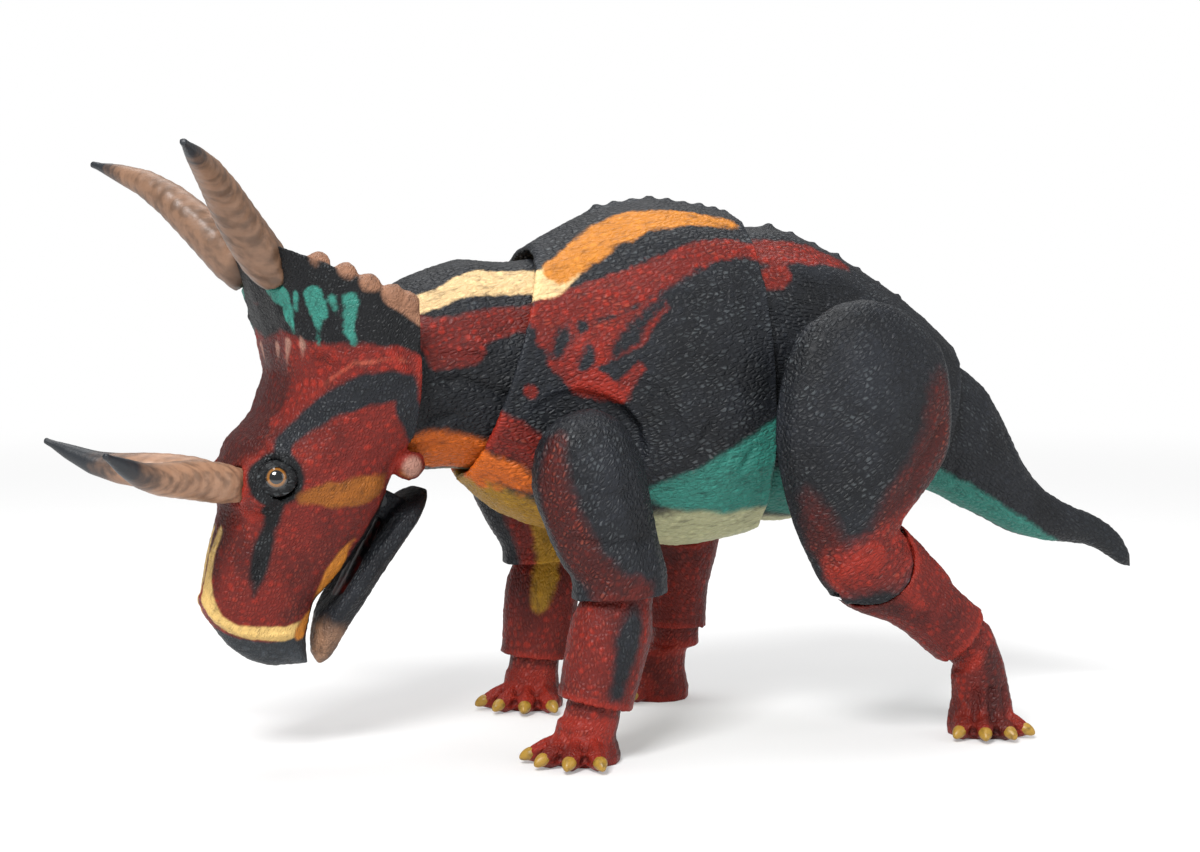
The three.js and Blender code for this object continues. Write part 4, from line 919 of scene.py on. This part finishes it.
def eye_paint(side):
    """Glossy eye with a round pupil in a streaked iris."""
    centre, out = gaze(side)
    paint = new_paint(f"eye_{side}_paint")
    where = paint.place()
    outward = paint.value("VectorMath", {0: where, 1: tuple(centre)}, operation="SUBTRACT")
    along = paint.value("VectorMath", {0: outward, 1: tuple(out)}, "Value",
                        operation="DOT_PRODUCT")
    depth = along / (EYE_DEPTH * MM)
    fleck = paint.noise(where, IRIS_FLECK)
    shade = paint.mix(colour("black"), dim(colour("iris"), 0.45), depth.ramp(0.8, 0.86))
    shade = paint.mix(shade, colour("iris"), (depth + fleck * 0.05).ramp(0.86, 0.93))
    shade = paint.mix(shade, colour("black"), depth.ramp(0.962, 0.975))
    return paint.finish(shade, 0.12, coat=1.0, specular=0.6)


def make_eye(side):
    """An eyeball with its two lids."""
    node = f"eye_{side}"
    centre, out = gaze(side)
    spin = out.to_track_quat("Z", "X").to_matrix().to_4x4()
    deselect()
    bpy.ops.mesh.primitive_uv_sphere_add(segments=48, ring_count=32, radius=EYE_RADIUS * MM)
    ball = bpy.context.object
    ball.name = f"eyeball_{side}"
    bpy.ops.object.mode_set(mode="EDIT")
    bpy.ops.mesh.select_all(action="DESELECT")
    bpy.ops.object.mode_set(mode="OBJECT")
    for vertex in ball.data.vertices:
        vertex.select = vertex.co.z > EYE_CAP * MM
    bpy.ops.object.mode_set(mode="EDIT")
    bpy.ops.transform.translate(value=(0, 0, EYE_BULGE * MM))
    bpy.ops.mesh.vertices_smooth(factor=0.5, repeat=4)
    bpy.ops.object.mode_set(mode="OBJECT")
    ball.matrix_world = Matrix.Translation(centre) @ spin
    settle(ball)
    bpy.ops.object.shade_smooth()
    dress(ball, node, eye_paint(side))
    deselect()
    bpy.ops.mesh.primitive_torus_add(major_segments=64, minor_segments=16,
                                     major_radius=LID_RING * MM, minor_radius=LID_ROLL * MM)
    lids = bpy.context.object
    lids.name = f"eyelids_{side}"
    for vertex in lids.data.vertices:
        if vertex.co.xy.length > FOLD_START * MM:
            angle = math.atan2(vertex.co.y, vertex.co.x)
            vertex.co.z += FOLD_DEPTH * MM * math.sin(FOLDS * angle)
        vertex.co.y *= LID_STRETCH
    apply_modifier(lids, "SUBSURF", levels=1, render_levels=1)
    lids.matrix_world = Matrix.Translation(centre + out * LID_OUT * MM) @ spin
    settle(lids)
    bpy.ops.object.shade_smooth()
    write_attribute(lids, "relief", np.full(len(lids.data.vertices), 0.6))
    lids.data.materials.append(hide_paint(f"eyelids_{side}_paint", "black", (), 0.4, 0.3))
    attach(lids, body_of(node))


def round_off(piece):
    """Smooths a small piece's shape and shading."""
    apply_modifier(piece, "SUBSURF", levels=1, render_levels=1)
    bpy.ops.object.shade_smooth()


def claw_paint():
    """Yellowish claw, darker in cloudy patches."""
    paint = new_paint("claw_paint")
    cloud = paint.noise(paint.place(), CLAW_CLOUD, 3.0)
    shade = paint.mix(colour("claw"), dim(colour("claw"), 0.4), cloud.ramp(0.45, 0.8))
    return paint.finish(shade, 0.4, cloud, 0.0002)


def add_ball(name, segments, rings, radii):
    """A new egg-shaped piece with its three radii in millimetres."""
    deselect()
    bpy.ops.mesh.primitive_uv_sphere_add(segments=segments, ring_count=rings, radius=1)
    ball = bpy.context.object
    ball.name = name
    bpy.ops.transform.resize(value=[radius * MM for radius in radii])
    settle(ball)
    return ball


def make_claws(node, material):
    """Four blunt claws on a paw: one is made, copied and joined with its copies."""
    span, aim = PAWS[node]
    origin = Vector(frame_of(node)[0]) * MM
    claw = add_ball(f"{node}_claws", 16, 10, CLAW)
    for vertex in claw.data.vertices:
        share = -vertex.co.x / (CLAW[0] * MM)
        vertex.co.y *= 1 - 0.35 * max(0, share)
        vertex.co.z += 0.5 * MM * (1 - share * share) - 0.4 * MM * share
    claws = [claw] + [add_object(f"{node}_claw", claw.data.copy()) for _ in TOE_FAN[1:]]
    for piece, fan in zip(claws, TOE_FAN):
        turn = math.radians(fan + aim)
        out = Vector((-math.cos(turn), -math.sin(turn), 0))
        spot = origin + out * (span - CLAW_INSET) * MM + Vector((0, 0, CLAW_LIFT * MM))
        piece.matrix_world = Matrix.Translation(spot) @ Matrix.Rotation(turn, 4, "Z")
    bpy.context.view_layer.update()
    choose(claw)
    for piece in claws:
        piece.select_set(True)
    bpy.ops.object.join()
    settle(claw)
    round_off(claw)
    claw.data.materials.append(material)
    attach(claw, body_of(node))


def mouth_paint():
    """Wet-looking dark flesh."""
    paint = new_paint("mouth_paint")
    where = paint.place()
    cloud = paint.noise(where, FLESH_CLOUD, 3.0)
    grain = paint.noise(where, FINE_GRAIN)
    shade = paint.mix(colour("maroon"), colour("black"), cloud.ramp(0.3, 0.6))
    return paint.finish(shade, grain * 0.1 + 0.3, cloud + grain * 0.4, 0.00025)


def make_tongue():
    """A low tongue lying in the lower jaw, with a groove along its middle."""
    tongue = add_ball("tongue", 32, 20, TONGUE)
    for vertex in tongue.data.vertices:
        share = vertex.co.x / (TONGUE[0] * MM)
        vertex.co.y *= 1 + 0.3 * share
        if vertex.co.z > 0:
            vertex.co.z -= 0.3 * MM * math.exp(-(vertex.co.y / (1.1 * MM)) ** 2)
        vertex.co.z += (2.0 * share * share if share < 0 else -0.3 * share) * MM
    origin, rows = axes(*FACE)
    turn = Matrix(rows.T.tolist()).to_4x4()
    spot = Vector(origin + rows.T @ TONGUE_SPOT) * MM
    tongue.matrix_world = Matrix.Translation(spot) @ turn
    settle(tongue)
    round_off(tongue)
    tongue.data.materials.append(mouth_paint())
    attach(tongue, "lower_jaw")


class FigureOperator(bpy.types.Operator):
    """Shared base of the building steps."""

    bl_options = {"REGISTER", "UNDO"}


class BuildTorso(FigureOperator):
    """Sculpt and paint the chest and the pelvis"""

    bl_idname = "figure.torso"
    bl_label = "Torso"

    def execute(self, context):
        make_hide("chest")
        make_hide("pelvis")
        return {"FINISHED"}


class BuildNeckTail(FigureOperator):
    """Sculpt and paint the neck and the tail"""

    bl_idname = "figure.neck_tail"
    bl_label = "Neck and tail"

    def execute(self, context):
        make_hide("neck")
        make_hide("tail")
        return {"FINISHED"}


class BuildHead(FigureOperator):
    """Sculpt and paint the skull with its frill, the lower jaw and the tongue"""

    bl_idname = "figure.head"
    bl_label = "Head"

    def execute(self, context):
        make_hide("skull")
        make_hide("lower_jaw")
        make_tongue()
        return {"FINISHED"}


class BuildHorns(FigureOperator):
    """Shape and paint the brow and frill horns"""

    bl_idname = "figure.horns"
    bl_label = "Horns"

    def execute(self, context):
        for node in HORNS:
            make_horn(node)
        return {"FINISHED"}


class BuildEyes(FigureOperator):
    """Make the eyes and their lids"""

    bl_idname = "figure.eyes"
    bl_label = "Eyes"

    def execute(self, context):
        for side in EYES:
            make_eye(side)
        return {"FINISHED"}


class BuildLimbs(FigureOperator):
    """Sculpt and paint the arms and the legs"""

    bl_idname = "figure.limbs"
    bl_label = "Limbs"

    def execute(self, context):
        for node in LIMBS:
            if node not in PAWS:
                make_hide(node)
        return {"FINISHED"}


class BuildPaws(FigureOperator):
    """Sculpt and paint the hands and feet with their claws"""

    bl_idname = "figure.paws"
    bl_label = "Hands and feet"

    def execute(self, context):
        claws = claw_paint()
        for node in PAWS:
            make_hide(node)
            make_claws(node, claws)
        return {"FINISHED"}


class PaintJoints(FigureOperator):
    """Give the joint pieces their moulded plastic"""

    bl_idname = "figure.joints"
    bl_label = "Joint pieces"

    def execute(self, context):
        paint = new_paint("joint_plastic_paint")
        where = paint.place()
        cloud = paint.noise(where, PLASTIC_CLOUD, 3.0)
        grain = paint.noise(where, PLASTIC_GRAIN)
        shade = paint.mix(colour("charcoal"), colour("black"), cloud.ramp(0.4, 0.7))
        material = paint.finish(shade, grain * 0.15 + 0.3, grain, 0.00008)
        for name, node in frame["nodes"].items():
            if slot_of(name) == "joint_plastic":
                node.data.materials.clear()
                node.data.materials.append(material)
        return {"FINISHED"}


class BuildStage(FigureOperator):
    """Set up the floor, the light and the camera"""

    bl_idname = "figure.stage"
    bl_label = "Studio"

    def execute(self, context):
        build_floor()
        build_light()
        build_camera()
        return {"FINISHED"}


def seen_direct(paint):
    """One where the surface is seen straight on, in a mirror or through glass."""
    rays = paint.node("LightPath", {}).outputs
    camera, glossy, glass = (Value(paint, rays[f"Is {kind} Ray"])
                             for kind in ("Camera", "Glossy", "Transmission"))
    return camera.above(glossy).above(glass)


def build_floor():
    """A pale floor that keeps the shadow near the figure and fades to white."""
    deselect()
    bpy.ops.mesh.primitive_plane_add(size=FLOOR_SIZE)
    floor = bpy.context.object
    floor.name = "floor"
    paint = new_paint("floor_paint")
    apart = paint.value("VectorMath", {0: paint.place()}, "Value", operation="LENGTH")
    matt = paint.value("BsdfDiffuse", {"Color": (FLOOR_GREY,) * 3})
    glow = paint.value("Emission", {"Color": (1, 1, 1), "Strength": 1.0})
    share = seen_direct(paint) * (apart.ramp(*FADE) * 0.72 + 0.28)
    blend = paint.value("MixShader", {0: share, 1: matt, 2: glow})
    paint.node("OutputMaterial", {0: blend})
    floor.data.materials.append(paint.holder)


def aim_along(thing, way):
    """Turns a lamp or the camera to look along a direction."""
    thing.rotation_mode = "QUATERNION"
    thing.rotation_quaternion = way.to_track_quat("-Z", "Y")


def build_light():
    """A bright even room and three soft lamps."""
    world = bpy.data.worlds.new("studio")
    bpy.context.scene.world = world
    room = Paint(world)
    camera = room.value("LightPath", {}, "Is Camera Ray")
    level = room.value("Mix", {0: camera, 2: ROOM_LIGHT, 3: 1.0})
    room.node("OutputWorld", {0: room.value("Background", {0: (1, 1, 1), 1: level})})
    for name, (spot, size, power) in LAMPS.items():
        lamp = bpy.data.lights.new(name, "AREA")
        lamp.size = size
        lamp.energy = power
        holder = add_object(name, lamp)
        holder.location = spot
        aim_along(holder, Vector(LAMP_AIM) - Vector(spot))
    bpy.context.scene.view_settings.view_transform = "Standard"


def build_camera():
    """The camera at the photograph's angle."""
    back = Vector((math.sin(AROUND) * math.cos(ABOVE), -math.cos(AROUND) * math.cos(ABOVE),
                   math.sin(ABOVE)))
    lens = bpy.data.cameras.new("camera")
    lens.lens = LENS
    lens.sensor_width = SENSOR
    camera = add_object("camera", lens)
    camera.location = Vector(AIM) * MM + back * DISTANCE * MM
    aim_along(camera, -back)
    bpy.context.scene.camera = camera


STEPS = (BuildTorso, BuildNeckTail, BuildHead, BuildHorns, BuildEyes, BuildLimbs, BuildPaws,
         PaintJoints, BuildStage)


class FigurePanel(bpy.types.Panel):
    """Lists the figure's building steps, colours and sizes"""

    bl_idname = "VIEW3D_PT_figure"
    bl_label = "Dinosaur figure"
    bl_space_type = "VIEW_3D"
    bl_region_type = "UI"
    bl_category = "Figure"

    def draw(self, context):
        layout = self.layout
        for step in STEPS:
            layout.operator(step.bl_idname)
        for group in (context.scene.figure_colours, context.scene.figure_sculpt):
            box = layout.box()
            for key in group.__annotations__:
                box.prop(group, key)


CLASSES = (FigureColours, FigureSculpt, *STEPS, FigurePanel)


def register():
    for item in CLASSES:
        bpy.utils.register_class(item)
    bpy.types.Scene.figure_colours = bpy.props.PointerProperty(type=FigureColours)
    bpy.types.Scene.figure_sculpt = bpy.props.PointerProperty(type=FigureSculpt)


def unregister():
    del bpy.types.Scene.figure_sculpt
    del bpy.types.Scene.figure_colours
    for item in reversed(CLASSES):
        bpy.utils.unregister_class(item)


def main():
    """Builds the whole figure."""
    register()
    bpy.ops.figure.torso()
    bpy.ops.figure.neck_tail()
    bpy.ops.figure.head()
    bpy.ops.figure.horns()
    bpy.ops.figure.eyes()
    bpy.ops.figure.limbs()
    bpy.ops.figure.paws()
    bpy.ops.figure.joints()
    bpy.ops.figure.stage()


if __name__ == "__main__":
    main()
